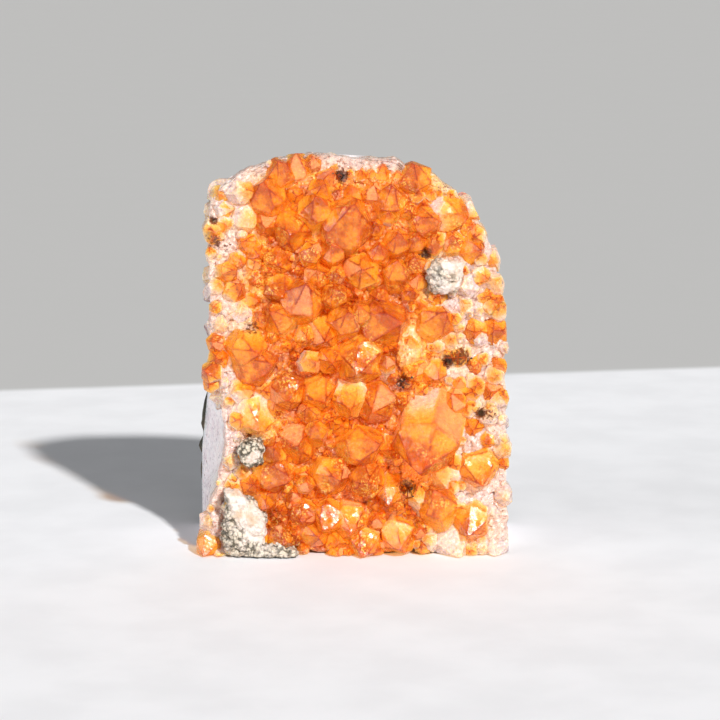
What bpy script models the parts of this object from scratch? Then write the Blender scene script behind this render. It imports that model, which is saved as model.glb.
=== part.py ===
"""A citrine cluster with a sawn base: a slab of pale quartz on a dark basalt rind, its front
covered by orange quartz points, with three crusts of grainy calcite among them.

The front of the cluster looks along -Y, its flat base rests on z = 0, and the origin lies on the
base under the middle of the whole. Sizes in the tables are millimetres.
"""

import math
import random

import bmesh
import bpy
from mathutils import Matrix, Vector, noise

MM = 0.001

# Where the layers lie, from front to back: each is (y at the base, change in y per unit of height).
DRUSE_BACK = (-14.0, 0.10)
QUARTZ_BACK = (17.0, -0.12)
RIND_BACK = (26.3, -0.17)
GAP = 0.3
FLOOR_THICKNESS = 4.4
DRUSE_LIFT = 0.4
TRIM_INSET = 0.2

# Outlines in X and Z, anticlockwise seen from the front, starting at the lower left corner. Both have
# the same number of points, because the quartz and the rind are lofted from one to the other.
FRONT_OUTLINE = [
    (-41.5, 0), (-20, 0), (0, 0), (20, 0), (43.3, 0),
    (43.3, 12), (43.0, 26), (42.7, 40), (42.3, 54), (41.6, 66), (40.7, 76), (38.9, 84),
    (36.2, 91.4), (32.4, 97.1), (27.4, 101.9), (20.6, 106.2), (12.6, 109.2), (4.0, 110.8),
    (-4.0, 111.3), (-12.0, 110.8), (-20.0, 109.6), (-28.0, 107.7), (-34.4, 105.2), (-38.8, 101.2),
    (-40.8, 94), (-40.9, 82), (-40.4, 70), (-40.0, 58), (-38.0, 47), (-36.2, 36), (-37.2, 26),
    (-40.6, 14),
]
BACK_OUTLINE = [
    (-44.6, 0), (-22, 0), (0, 0), (21, 0), (43.2, 0),
    (43.0, 12), (42.6, 26), (42.0, 40), (41.2, 54), (40.2, 66), (39.0, 76), (36.8, 84),
    (33.6, 90.5), (29.6, 95.6), (24.6, 99.8), (18.4, 103.4), (11.4, 105.6), (4.0, 106.6),
    (-4.0, 107.0), (-12.0, 106.8), (-20.0, 105.8), (-27.6, 103.8), (-33.4, 101.0), (-37.2, 97.2),
    (-38.8, 92), (-39.6, 82), (-40.4, 70), (-41.2, 58), (-41.8, 47), (-42.9, 36), (-44.3, 24),
    (-44.6, 12),
]
# The saw also trimmed the points along the sides and the top.
SAW_OUTLINE = [
    (-43.4, DRUSE_LIFT), (43.6, DRUSE_LIFT), (43.3, 30), (42.5, 56), (41.2, 76), (38.2, 87.5),
    (32.6, 98.6), (23.0, 106.4), (10.0, 111.2), (-5.0, 112.8), (-22.0, 111.0), (-34.4, 107.2),
    (-39.8, 102.2), (-41.8, 90), (-42.2, 50), (-43.4, 12),
]

# Quartz: each end face leans this far from the prism's axis. Three of the six are cut deeper, and the
# other three are missing on small points. The radii in the tables are of what shows above the rest.
FACE_LEAN = math.radians(51.8)
MAJOR_SPREAD = 0.10
MINOR_SET_BACK = (0.10, 0.42)
MINOR_LEAST_RADIUS = 3.9
SWELL = 1.10

# The points that the eye can tell apart, row by row from the top:
# tip x, tip z, root x, root z, radius, how far the tip stands out of the quartz, twist in degrees.
POINTS = [
    (-27.5, 103.0, -36.0, 103.3, 3.3, 9.0, 30), (-37.0, 102.4, -36.0, 101.6, 3.2, 7.0, 0),
    (-33.6, 98.0, -38.5, 98.2, 2.4, 8.0, 0), (-27.5, 93.5, -31.5, 97.5, 4.4, 8.5, 15),
    (-34.0, 95.0, -33.0, 93.5, 3.0, 7.0, 0), (-24.6, 105.7, -22.5, 99.0, 5.2, 11.0, -30),
    (-17.5, 91.2, -17.0, 93.5, 6.6, 12.0, 10), (-24.3, 93.0, -23.0, 95.5, 3.9, 9.5, 30),
    (-31.0, 89.3, -27.5, 88.3, 3.0, 8.0, 0), (-4.8, 110.0, -7.0, 109.5, 3.8, 5.5, 30),
    (-5.6, 108.8, -8.5, 103.5, 3.4, 8.5, 0), (-8.2, 105.2, -10.5, 101.0, 3.2, 10.0, 30),
    (-10.6, 101.7, -11.2, 94.0, 4.6, 12.0, 30), (0.2, 99.6, -3.4, 91.5, 7.8, 13.0, 0),
    (-0.5, 104.2, 0.0, 100.0, 3.0, 7.5, 30), (5.4, 104.9, 5.0, 100.5, 3.2, 8.0, 0),
    (10.4, 105.0, 9.3, 97.5, 4.8, 9.5, 0), (9.6, 97.4, 9.0, 94.0, 2.1, 9.0, 0),
    (2.0, 109.0, 1.5, 106.0, 2.3, 6.5, 0), (4.8, 108.9, 4.7, 106.4, 1.6, 6.5, 30),
    (12.0, 108.6, 12.0, 106.0, 1.9, 6.0, 0), (12.2, 91.8, 11.4, 86.5, 4.0, 10.0, 30),
    (23.4, 95.0, 17.3, 94.2, 4.4, 10.5, 0), (31.2, 95.4, 23.5, 97.6, 5.2, 9.0, 30),
    (17.6, 103.6, 17.0, 100.0, 2.3, 7.0, 0), (21.6, 103.2, 20.6, 100.8, 1.9, 6.5, 30),
    (34.5, 96.6, 31.0, 99.0, 3.0, 6.5, 0), (32.6, 93.8, 29.5, 92.0, 2.2, 7.5, 0),
    (35.2, 87.0, 30.5, 87.6, 3.8, 8.5, 30), (27.3, 91.0, 27.3, 87.0, 3.2, 9.0, 0),
    (21.6, 90.4, 22.6, 86.8, 3.1, 9.0, 30), (17.3, 91.0, 17.0, 87.0, 3.0, 9.5, 0),
    (16.6, 85.2, 17.0, 82.0, 3.2, 9.0, 0), (2.2, 81.8, 1.8, 80.4, 4.8, 13.0, 30),
    (7.0, 88.5, 6.6, 82.0, 2.8, 10.5, 0), (12.0, 84.2, 11.5, 76.0, 3.6, 11.0, 0),
    (18.0, 80.2, 17.0, 76.5, 2.8, 8.0, 30), (-6.0, 88.5, -5.8, 83.0, 3.6, 11.0, 30),
    (-11.5, 88.0, -12.0, 83.0, 3.2, 11.0, 0), (-10.0, 81.4, -10.0, 77.5, 3.6, 12.0, 30),
    (-4.8, 80.9, -5.0, 78.0, 2.4, 12.5, 0), (-13.2, 77.7, -14.8, 70.0, 6.2, 13.5, 0),
    (-5.2, 76.3, -5.5, 72.0, 3.4, 13.5, 30), (-22.9, 70.0, -18.0, 67.5, 4.8, 11.5, 0),
    (-26.2, 69.6, -24.5, 65.0, 2.4, 8.5, 30), (13.1, 67.3, 6.0, 67.2, 7.2, 13.0, 0),
    (-1.6, 70.0, -4.0, 65.5, 4.4, 14.0, 30), (1.4, 71.6, 2.0, 66.0, 3.2, 13.0, 30),
    (-8.0, 62.0, -9.0, 66.0, 4.8, 13.0, 30), (-13.0, 62.5, -13.5, 65.0, 3.0, 12.5, 0),
    (-32.3, 81.6, -38.0, 80.6, 3.0, 8.5, 30), (-30.7, 83.2, -34.0, 85.2, 2.6, 7.5, 0),
    (-31.3, 77.8, -35.0, 74.3, 3.2, 8.5, 0), (-37.0, 78.2, -39.2, 76.0, 2.4, 7.5, 30),
    (-38.8, 71.8, -36.6, 70.9, 1.7, 8.0, 0), (-30.8, 71.6, -31.6, 68.5, 3.0, 8.0, 30),
    (-28.6, 67.5, -29.0, 67.0, 3.0, 7.0, 0), (-36.5, 67.0, -37.0, 66.5, 3.8, 7.5, 20),
    (-27.6, 78.0, -25.5, 79.6, 2.2, 7.5, 0), (-19.5, 74.2, -21.6, 77.8, 4.6, 10.0, -30),
    (-26.4, 73.0, -28.6, 74.2, 2.8, 7.5, 0), (-26.3, 85.3, -27.0, 87.0, 3.2, 8.0, 0),
    (-21.0, 83.0, -20.8, 85.5, 3.9, 10.0, 30), (-26.4, 58.5, -32.0, 61.2, 5.0, 13.0, 30),
    (-22.6, 55.6, -29.5, 55.8, 6.0, 11.5, 0), (-39.0, 61.6, -36.8, 61.5, 2.6, 8.5, 0),
    (-41.2, 54.0, -36.8, 53.4, 3.2, 9.5, 30), (-38.0, 57.4, -37.0, 57.0, 2.8, 8.5, 0),
    (-27.8, 48.4, -34.0, 48.3, 3.8, 9.0, 30), (-40.0, 50.0, -38.5, 50.0, 2.2, 7.0, 0),
    (-26.0, 37.3, -28.6, 43.5, 6.4, 10.5, 30), (-18.0, 45.5, -18.6, 50.5, 5.0, 13.0, 15),
    (-8.0, 45.0, -11.0, 50.0, 4.8, 12.5, -30), (-10.4, 56.2, -14.5, 56.5, 3.0, 12.0, 0),
    (-13.0, 43.6, -11.0, 41.5, 3.2, 11.0, 0), (0.8, 53.2, 2.6, 59.5, 6.4, 15.0, 0),
    (-6.0, 56.0, -7.5, 58.5, 4.0, 13.0, 30), (-0.8, 43.0, -1.0, 49.0, 5.2, 13.0, 0),
    (5.0, 42.3, 6.6, 46.6, 5.6, 12.5, 0), (9.2, 57.9, 9.4, 50.0, 2.1, 12.0, 30),
    (-10.5, 38.8, -10.5, 33.5, 2.9, 12.0, 0), (7.3, 33.4, -1.0, 33.3, 5.8, 12.5, 0),
    (-15.4, 33.0, -16.0, 34.4, 5.8, 12.0, 0), (-22.4, 33.0, -22.2, 30.5, 3.8, 11.0, -30),
    (9.4, 32.0, 9.6, 34.0, 3.2, 9.5, 30), (18.2, 25.3, 22.0, 42.0, 8.8, 17.0, 30),
    (27.2, 47.4, 29.8, 43.8, 3.3, 10.0, 0), (35.8, 21.9, 34.2, 29.5, 5.8, 10.5, 0),
    (23.0, 25.5, 26.5, 25.0, 4.8, 9.5, 0), (21.8, 20.6, 24.8, 12.5, 5.2, 12.0, 30),
    (31.6, 8.4, 33.4, 15.5, 4.8, 12.0, 0), (38.5, 14.0, 38.0, 14.5, 3.4, 7.5, 0),
    (29.8, 1.9, 26.5, 8.0, 5.2, 9.5, 0), (39.3, 1.6, 38.8, 7.0, 4.0, 8.0, 30),
    (2.4, 2.2, 3.6, 8.2, 4.8, 11.0, 0), (12.8, 4.2, 12.2, 11.0, 4.9, 10.5, 30),
    (-8.6, 9.8, -6.3, 16.0, 4.8, 12.5, 0), (-0.8, 9.0, -2.0, 15.0, 5.0, 12.0, -30),
    (4.2, 23.0, 3.2, 24.2, 5.0, 14.0, 10), (9.6, 16.6, 10.6, 25.0, 3.3, 12.0, 0),
    (12.0, 15.2, 11.6, 18.0, 2.0, 11.0, 30), (18.0, 22.2, 18.0, 14.0, 3.0, 9.5, 30),
    (-3.9, 23.2, -8.3, 26.5, 5.2, 13.0, 30), (-13.2, 23.0, -14.0, 21.0, 2.4, 12.0, 0),
    (-14.6, 12.0, -13.0, 17.0, 3.6, 12.0, 0), (-17.5, 23.6, -26.0, 26.4, 4.8, 11.0, 0),
    (-27.6, 22.4, -29.6, 22.2, 3.0, 10.0, 30), (-24.3, 15.8, -26.4, 19.4, 3.4, 10.5, 0),
    (-18.8, 6.0, -22.0, 9.6, 4.0, 11.0, 0), (-41.8, 2.5, -40.0, 7.0, 3.8, 9.0, 0),
    (-40.0, 12.3, -39.6, 12.0, 3.2, 7.0, 30), (-9.8, 7.6, -12.4, 10.0, 3.8, 11.0, 30),
    (-4.0, 6.0, -5.0, 8.5, 3.0, 9.0, 0), (38.0, 48.0, 38.2, 48.2, 3.6, 8.0, 15),
    (39.6, 55.5, 39.4, 55.6, 2.8, 7.5, 0), (33.4, 64.4, 33.8, 65.2, 3.6, 9.0, 0),
    (38.6, 65.0, 38.2, 65.0, 4.6, 8.5, 30), (25.4, 70.1, 20.6, 66.0, 5.2, 10.5, 0),
    (23.4, 51.6, 22.0, 55.8, 3.5, 9.5, 30), (16.5, 51.8, 16.0, 55.5, 3.2, 9.0, 0),
    (15.5, 63.0, 15.0, 60.5, 4.2, 8.0, 0), (29.6, 77.0, 32.6, 77.6, 3.6, 9.0, 30),
    (36.8, 79.0, 32.5, 81.2, 2.9, 8.5, 0), (38.6, 83.5, 38.0, 85.0, 3.2, 6.5, 30),
    (37.5, 74.5, 36.6, 74.0, 3.0, 8.0, 0), (23.5, 74.6, 23.0, 73.8, 2.6, 8.0, 0),
    (18.6, 72.0, 18.2, 70.6, 2.0, 8.0, 30), (29.5, 51.2, 29.0, 49.5, 2.2, 8.0, 0),
    (33.0, 55.0, 33.5, 56.0, 3.8, 7.5, 0), (37.6, 33.6, 36.0, 37.0, 2.0, 8.0, 0),
    (41.5, 28.0, 40.5, 29.0, 2.2, 7.0, 30), (33.0, 37.5, 33.0, 39.0, 3.6, 8.0, 0),
    (14.2, 44.5, 13.0, 46.0, 3.0, 8.5, 30),
]
# Points on the top rim that the saw missed, written the same way.
RIM_POINTS = [
    (-20.8, 111.2, -20.0, 105.0, 4.2, 9.0, 30), (-16.0, 113.0, -15.5, 107.5, 4.2, 7.5, 0),
    (-11.2, 112.6, -11.6, 108.0, 2.4, 8.0, 30), (8.0, 110.6, 7.4, 106.0, 2.8, 6.5, 0),
    (16.4, 110.8, 16.5, 104.5, 4.8, 8.5, 30),
]

# Small pale points fill the room that is left between them.
FILL_SEED = 23
FILL_ROWS, FILL_COLUMNS = 28, 22
FILL_PITCH = 4.3
FILL_JITTER = 1.1
FILL_RADIUS = (2.1, 3.0)
FILL_REACH = (6.0, 8.4)
FILL_LEAN = 2.2
FILL_INSET = 1.2
FILL_TWISTS = (0, 20, 40)

# The tables give a place as the eye finds it from 11 degrees above and 0.8 m away, on a plane 16 mm in
# front of the quartz. What lies deeper is truly lower and a little farther from the middle.
SIGHT_PLANE = 16.0
SIGHT_DROP = 0.194
SIGHT_DISTANCE = 800.0
SIGHT_X, SIGHT_Z = 1.7, 56.0

# Each crust is one or two lumps: the middle (x, z), how far its middle stands out of the quartz, half
# its thickness, the fineness of its ball and its outline seen from the front.
CRUSTS = {
    "calcite_crust_low": [
        (-30.0, 11.0, 7.6, 4.4, 3, [
            (-36, 21.5), (-33.5, 22.3), (-31, 20.5), (-26.5, 16), (-23.5, 14), (-24, 11), (-24.5, 8),
            (-25.0, 5), (-25, 2.5), (-28, 1.6), (-32, 2.3), (-36, 4), (-36.5, 8), (-36, 12), (-35, 17),
        ]),
        (-21.5, 3.6, 6.6, 3.8, 3, [
            (-28, 6), (-24, 6.2), (-19, 5.2), (-15.6, 4.4), (-15.8, 1.9), (-20, 1.7), (-25, 1.7),
            (-28, 2.2),
        ]),
    ],
    "calcite_crust_mid": [
        (-28.0, 31.8, 7.6, 4.6, 3, [
            (-31.4, 34.8), (-28.4, 36), (-25.2, 34.6), (-24.6, 31), (-25.4, 28), (-28.4, 27.2),
            (-31.2, 29),
        ]),
    ],
    "calcite_crust_high": [
        (25.0, 79.8, 6.6, 3.8, 3, [
            (19.4, 81.5), (22.0, 85.4), (26.0, 85.2), (30.4, 83.0), (30.6, 78.5), (27.5, 75.0),
            (22.5, 74.8), (19.6, 77.4),
        ]),
    ],
}
CRUST_EDGE = 0.8
CRUST_GRAIN, CRUST_ROUGHNESS = 0.42, 0.75

# The rind narrows towards its back, which is natural rock.
RIND_TAPER_X, RIND_TAPER_Z = 0.955, 0.965
RIND_LUMP, RIND_PEBBLE, RIND_ROUGHNESS = 0.085, 0.2, 2.2
RIND_CUTS = 10

COLOURS = {
    "citrine_crystals": ((0.85, 0.27, 0.03, 1), 0.12),
    "quartz_bed": ((0.78, 0.70, 0.68, 1), 0.35),
    "basalt_rind": ((0.045, 0.042, 0.040, 1), 0.85),
    "calcite_crust_low": ((0.76, 0.70, 0.58, 1), 0.7),
    "calcite_crust_mid": ((0.76, 0.70, 0.58, 1), 0.7),
    "calcite_crust_high": ((0.76, 0.70, 0.58, 1), 0.7),
}


def layer_y(layer, z):
    """Y of a layer's plane at height z."""
    return layer[0] + layer[1] * z


def layer_normal(layer):
    """The layer plane's normal, on its front side."""
    return Vector((0, -1, layer[1])).normalized()


def shifted(layer, gap):
    """The same plane moved back by a gap."""
    return (layer[0] + gap * math.hypot(1, layer[1]), layer[1])


def placed(x, seen_z, out):
    """The point that the tables mean by x, a height as seen and a distance out of the quartz."""
    deeper = SIGHT_PLANE - out
    spread = 1 + deeper / SIGHT_DISTANCE
    z = SIGHT_Z + (seen_z - SIGHT_Z) * spread - deeper * SIGHT_DROP
    return Vector((SIGHT_X + (x - SIGHT_X) * spread, layer_y(DRUSE_BACK, z) - out, z))


def clear_scene():
    """Removes whatever the file opened with."""
    for item in list(bpy.data.objects):
        bpy.data.objects.remove(item)


def new_collection(name):
    """A collection of this name in the scene."""
    made = bpy.data.collections.new(name)
    bpy.context.scene.collection.children.link(made)
    return made


def add_object(name, bm, collection):
    """Turns a bmesh in millimetres into an object in metres."""
    bmesh.ops.recalc_face_normals(bm, faces=bm.faces)
    bmesh.ops.transform(bm, matrix=Matrix.Scale(MM, 4), verts=bm.verts)
    mesh = bpy.data.meshes.new(name)
    bm.to_mesh(mesh)
    bm.free()
    made = bpy.data.objects.new(name, mesh)
    collection.objects.link(made)
    return made


def add_cutter(name, bm, collection):
    """An object that only shapes others."""
    made = add_object(name, bm, collection)
    made.hide_render = True
    made.display_type = "WIRE"
    return made


def combine(base, operation, other):
    """Applies a Boolean of an object, or of a whole collection, to the base."""
    modifier = base.modifiers.new(operation.lower(), "BOOLEAN")
    modifier.operation = operation
    modifier.solver = "EXACT"
    if isinstance(other, bpy.types.Collection):
        modifier.operand_type = "COLLECTION"
        modifier.collection = other
    else:
        modifier.object = other
    bpy.context.view_layer.update()
    graph = bpy.context.evaluated_depsgraph_get()
    result = bpy.data.meshes.new_from_object(base.evaluated_get(graph))
    base.modifiers.clear()
    base.data = result


def keep_largest(target):
    """Deletes the crumbs that a cut leaves loose."""
    bm = bmesh.new()
    bm.from_mesh(target.data)
    left = set(bm.verts)
    islands = []
    while left:
        island = set()
        edge = [left.pop()]
        while edge:
            vertex = edge.pop()
            island.add(vertex)
            for link in vertex.link_edges:
                other = link.other_vert(vertex)
                if other in left:
                    left.remove(other)
                    edge.append(other)
        islands.append(island)
    largest = max(islands, key=len)
    crumbs = [vertex for vertex in bm.verts if vertex not in largest]
    bmesh.ops.delete(bm, geom=crumbs, context="VERTS")
    bmesh.ops.dissolve_degenerate(bm, dist=1e-7, edges=bm.edges)
    bm.to_mesh(target.data)
    bm.free()


def loft(front_outline, back_outline, front_layer, back_layer):
    """A solid from one outline on a sloping plane to another on the plane behind it."""
    bm = bmesh.new()
    front = [bm.verts.new((x, layer_y(front_layer, z), z)) for x, z in front_outline]
    face = bm.faces.new(front)
    made = bmesh.ops.extrude_face_region(bm, geom=[face], use_keep_orig=True)
    back = [item for item in made["geom"] if isinstance(item, bmesh.types.BMVert)]
    for vertex in back:
        corner = min(range(len(front)), key=lambda i: (front[i].co - vertex.co).length_squared)
        x, z = back_outline[corner]
        vertex.co = (x, layer_y(back_layer, z), z)
    return bm


def cut_end(bm, co, normal):
    """Cuts away what lies beyond a plane and closes the cut."""
    everything = bm.verts[:] + bm.edges[:] + bm.faces[:]
    made = bmesh.ops.bisect_plane(bm, geom=everything, plane_co=co, plane_no=normal, clear_outer=True)
    rim = [item for item in made["geom_cut"] if isinstance(item, bmesh.types.BMEdge)]
    if rim:
        bmesh.ops.edgeloop_fill(bm, edges=rim)


def quartz_point(tip, root, radius, twist, rng):
    """One quartz point: a six-sided prism from its root, ended by six sloping faces."""
    radius *= SWELL
    length = (tip - root).length + radius * 1.5 + 1.0
    bm = bmesh.new()
    bmesh.ops.create_cone(
        bm, cap_ends=True, segments=6, radius1=radius, radius2=radius * 0.94, depth=length + radius,
        matrix=Matrix.Translation((0, 0, (radius - length) / 2)) @ Matrix.Rotation(math.pi / 6, 4, "Z"),
    )
    for side in range(0, 6, 1 if radius > MINOR_LEAST_RADIUS else 2):
        turn = math.radians(60 * side)
        if side % 2:
            set_back = rng.uniform(*MINOR_SET_BACK)
        else:
            set_back = rng.uniform(0, MAJOR_SPREAD)
        lean = Vector((math.sin(FACE_LEAN) * math.cos(turn), math.sin(FACE_LEAN) * math.sin(turn),
                       math.cos(FACE_LEAN)))
        cut_end(bm, (0, 0, radius * set_back), lean)
    axis = (tip - root).normalized()
    forward = Vector((0, -1, 0))
    ahead = (forward - axis * forward.dot(axis)).normalized()
    aside = axis.cross(ahead)
    turned = Matrix((ahead, aside, axis)).transposed().to_4x4()
    spin = Matrix.Rotation(math.radians(twist), 4, "Z")
    bmesh.ops.transform(bm, matrix=Matrix.Translation(tip) @ turned @ spin, verts=bm.verts)
    return bm


def inside(outline, x, z, inset):
    """Whether a place lies inside an outline, at least this far from its edge."""
    within = False
    for (ax, az), (bx, bz) in zip(outline, outline[1:] + outline[:1]):
        if (az > z) != (bz > z) and x < ax + (z - az) / (bz - az) * (bx - ax):
            within = not within
        if distance_to(x, z, (ax, az), (bx, bz)) < inset:
            return False
    return within


def distance_to(x, z, start, end):
    """How far a place lies from a line between two others."""
    run = Vector(end) - Vector(start)
    offset = Vector((x, z)) - Vector(start)
    share = min(1, max(0, offset.dot(run) / max(run.length_squared, 1e-9)))
    return (offset - run * share).length


def has_room(x, z, radius):
    """Whether a small point at this place would stand clear of the larger ones and of the crusts."""
    for tip_x, tip_z, root_x, root_z, size, out, twist in POINTS + RIM_POINTS:
        if distance_to(x, z, (tip_x, tip_z), (root_x, root_z)) < 0.75 * size + 0.35 * radius:
            return False
    for lumps in CRUSTS.values():
        for middle_x, middle_z, out, half, fineness, outline in lumps:
            if inside(outline, x, z, 0.3):
                return False
    return True


def filling(rng):
    """Small points, written like the table's, on a jittered grid wherever the table leaves room."""
    made = []
    for row in range(FILL_ROWS):
        for column in range(FILL_COLUMNS):
            x = -45.0 + FILL_PITCH * (column + 0.5 * (row % 2)) + rng.uniform(-1, 1) * FILL_JITTER
            z = 4.5 + FILL_PITCH * row + rng.uniform(-1, 1) * FILL_JITTER
            radius = rng.uniform(*FILL_RADIUS)
            reach = rng.uniform(*FILL_REACH)
            tip_x = x + rng.uniform(-1, 1) * FILL_LEAN
            tip_z = z + rng.uniform(-1, 1) * FILL_LEAN
            twist = rng.choice(FILL_TWISTS)
            if inside(FRONT_OUTLINE, x, placed(x, z, 0).z, FILL_INSET) and has_room(x, z, radius):
                made.append((tip_x, tip_z, x, z, radius, reach, twist))
    return made


def add_points(table, rng, collection, trimmed=False):
    """One cutter for each point of a table, trimmed where it must end inside the druse's back."""
    for number, (tip_x, tip_z, root_x, root_z, radius, out, twist) in enumerate(table):
        bm = quartz_point(placed(tip_x, tip_z, out), placed(root_x, root_z, 0), radius, twist, rng)
        if trimmed:
            cut_end(bm, (0, layer_y(DRUSE_BACK, 0) - TRIM_INSET, 0), -layer_normal(DRUSE_BACK))
        add_cutter(f"{collection.name}_{number}", bm, collection)


def crust_lump(x, z, out, half, fineness, outline, grown):
    """A rough pillow of this outline. Grown, it is the room that the crystals leave for it."""
    middle = placed(x, z, out)
    bm = bmesh.new()
    bmesh.ops.create_icosphere(bm, subdivisions=fineness, radius=1)
    corners = []
    for corner_x, corner_z in outline:
        corners.append((math.atan2(corner_z - z, corner_x - x), math.hypot(corner_x - x, corner_z - z)))
    corners.sort()
    first, last = corners[0], corners[-1]
    corners = [(last[0] - math.tau, last[1])] + corners + [(first[0] + math.tau, first[1])]
    for vertex in bm.verts:
        way = vertex.co.copy()
        flat = math.hypot(way.x, way.z)
        turn = math.atan2(way.z, way.x)
        reach = 0.0
        for (near_turn, near), (far_turn, far) in zip(corners, corners[1:]):
            if near_turn <= turn <= far_turn:
                share = (turn - near_turn) / (far_turn - near_turn)
                reach = near + (far - near) * share
                break
        spread = reach * flat ** CRUST_EDGE
        depth = half * math.copysign(abs(way.y) ** CRUST_EDGE, way.y)
        co = middle + Vector((spread * math.cos(turn), depth, spread * math.sin(turn)))
        grain = noise.noise(co * CRUST_GRAIN) * CRUST_ROUGHNESS
        vertex.co = co + way * (grain + grown)
    cut_end(bm, (0, 0, DRUSE_LIFT), (0, 0, -1))
    return bm


def make_druse(cutters, collection):
    """All the points as one solid on a thin floor, trimmed by the saw."""
    rng = random.Random(FILL_SEED)
    floor = loft(FRONT_OUTLINE, FRONT_OUTLINE, shifted(DRUSE_BACK, -FLOOR_THICKNESS), shifted(DRUSE_BACK, 1))
    druse = add_object("citrine_crystals", floor, collection)
    main_points = new_collection("main_points")
    add_points(POINTS + filling(rng), rng, main_points)
    combine(druse, "UNION", main_points)
    block = loft(SAW_OUTLINE, SAW_OUTLINE, shifted(DRUSE_BACK, -60), DRUSE_BACK)
    combine(druse, "INTERSECT", add_cutter("saw_block", block, cutters))
    rim_points = new_collection("rim_points")
    add_points(RIM_POINTS, rng, rim_points, trimmed=True)
    combine(druse, "UNION", rim_points)
    return druse


def make_crusts(druse, cutters, collection):
    """The calcite crusts, each in a hollow of the druse."""
    for name, lumps in CRUSTS.items():
        crust = add_object(name, crust_lump(*lumps[0], 0), collection)
        hollow = add_cutter(name + "_hollow", crust_lump(*lumps[0], GAP), cutters)
        for lump in lumps[1:]:
            combine(crust, "UNION", add_cutter(name + "_more", crust_lump(*lump, 0), cutters))
            combine(hollow, "UNION", add_cutter(name + "_more_hollow", crust_lump(*lump, GAP), cutters))
        combine(druse, "DIFFERENCE", hollow)
    keep_largest(druse)


def make_rind(cutters, collection):
    """Natural rock behind the quartz: sawn at the sides, rough at its back."""
    tapered = [(x * RIND_TAPER_X, z * RIND_TAPER_Z) for x, z in BACK_OUTLINE]
    front = shifted(QUARTZ_BACK, GAP)
    rind = add_object("basalt_rind", loft(BACK_OUTLINE, tapered, front, shifted(RIND_BACK, 4)), collection)
    bm = bmesh.new()
    bmesh.ops.create_grid(bm, x_segments=RIND_CUTS, y_segments=RIND_CUTS + 4, size=1)
    for vertex in bm.verts:
        x = vertex.co.x * 50
        z = 55 + vertex.co.y * 62
        lump = noise.noise(Vector((x, 0, z)) * RIND_LUMP)
        pebble = noise.noise(Vector((x, 9, z)) * RIND_PEBBLE)
        vertex.co = (x, layer_y(RIND_BACK, z) + (lump + 0.5 * pebble) * RIND_ROUGHNESS, z)
    made = bmesh.ops.extrude_face_region(bm, geom=bm.faces[:], use_keep_orig=True)
    far = [item for item in made["geom"] if isinstance(item, bmesh.types.BMVert)]
    for vertex in far:
        vertex.co.y = -30
    combine(rind, "INTERSECT", add_cutter("rock_block", bm, cutters))
    return rind


def colour(target):
    """The object's own material."""
    base, roughness = COLOURS[target.name]
    material = bpy.data.materials.new(target.name)
    material.use_nodes = True
    shader = material.node_tree.nodes["Principled BSDF"]
    shader.inputs["Base Color"].default_value = base
    shader.inputs["Roughness"].default_value = roughness
    target.data.materials.clear()
    target.data.materials.append(material)


def centre(targets):
    """Moves all the meshes so that the middle of the whole's base is the origin."""
    corners = [vertex.co for target in targets for vertex in target.data.vertices]
    middle_x = (min(co.x for co in corners) + max(co.x for co in corners)) / 2
    middle_y = (min(co.y for co in corners) + max(co.y for co in corners)) / 2
    lowest = min(co.z for co in corners)
    for target in targets:
        target.data.transform(Matrix.Translation((-middle_x, -middle_y, -lowest)))


def main():
    """Builds the cluster."""
    clear_scene()
    cluster = new_collection("citrine_cluster")
    cutters = new_collection("cutters")
    druse = make_druse(cutters, cluster)
    make_crusts(druse, cutters, cluster)
    quartz = loft(FRONT_OUTLINE, BACK_OUTLINE, shifted(DRUSE_BACK, GAP), QUARTZ_BACK)
    add_object("quartz_bed", quartz, cluster)
    make_rind(cutters, cluster)
    targets = list(cluster.objects)
    centre(targets)
    for target in targets:
        colour(target)


main()
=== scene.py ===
"""A citrine cluster with a sawn base, dressed on its CAD frame: orange quartz points on a pale quartz
slab with a dark rock rind, grainy quartz and small points in the gaps, and calcite crusts."""

import math

import bmesh
import bpy
import numpy as np
from mathutils import Matrix, Vector
from mathutils.bvhtree import BVHTree


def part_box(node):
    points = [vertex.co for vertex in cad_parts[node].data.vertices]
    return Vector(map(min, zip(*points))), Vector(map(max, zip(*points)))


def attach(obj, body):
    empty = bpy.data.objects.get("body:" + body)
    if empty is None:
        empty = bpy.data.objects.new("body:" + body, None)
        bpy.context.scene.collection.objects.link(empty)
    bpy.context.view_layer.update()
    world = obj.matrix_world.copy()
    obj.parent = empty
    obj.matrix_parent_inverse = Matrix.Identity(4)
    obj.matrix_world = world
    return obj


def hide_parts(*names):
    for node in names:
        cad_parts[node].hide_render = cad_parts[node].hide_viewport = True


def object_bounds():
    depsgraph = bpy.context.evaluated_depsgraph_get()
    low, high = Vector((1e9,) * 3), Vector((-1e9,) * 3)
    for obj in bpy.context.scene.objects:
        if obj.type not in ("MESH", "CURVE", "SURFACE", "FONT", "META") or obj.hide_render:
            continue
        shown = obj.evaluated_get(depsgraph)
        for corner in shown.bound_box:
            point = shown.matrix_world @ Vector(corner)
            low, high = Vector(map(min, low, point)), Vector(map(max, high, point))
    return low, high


bl_info = {
    "name": "Citrine cluster",
    "version": (1, 0, 0),
    "blender": (4, 5, 0),
    "location": "View3D > Sidebar > Citrine",
    "description": "Builds a citrine cluster: quartz points, grainy quartz, calcite, rind and stage",
    "category": "Add Mesh",
}

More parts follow.
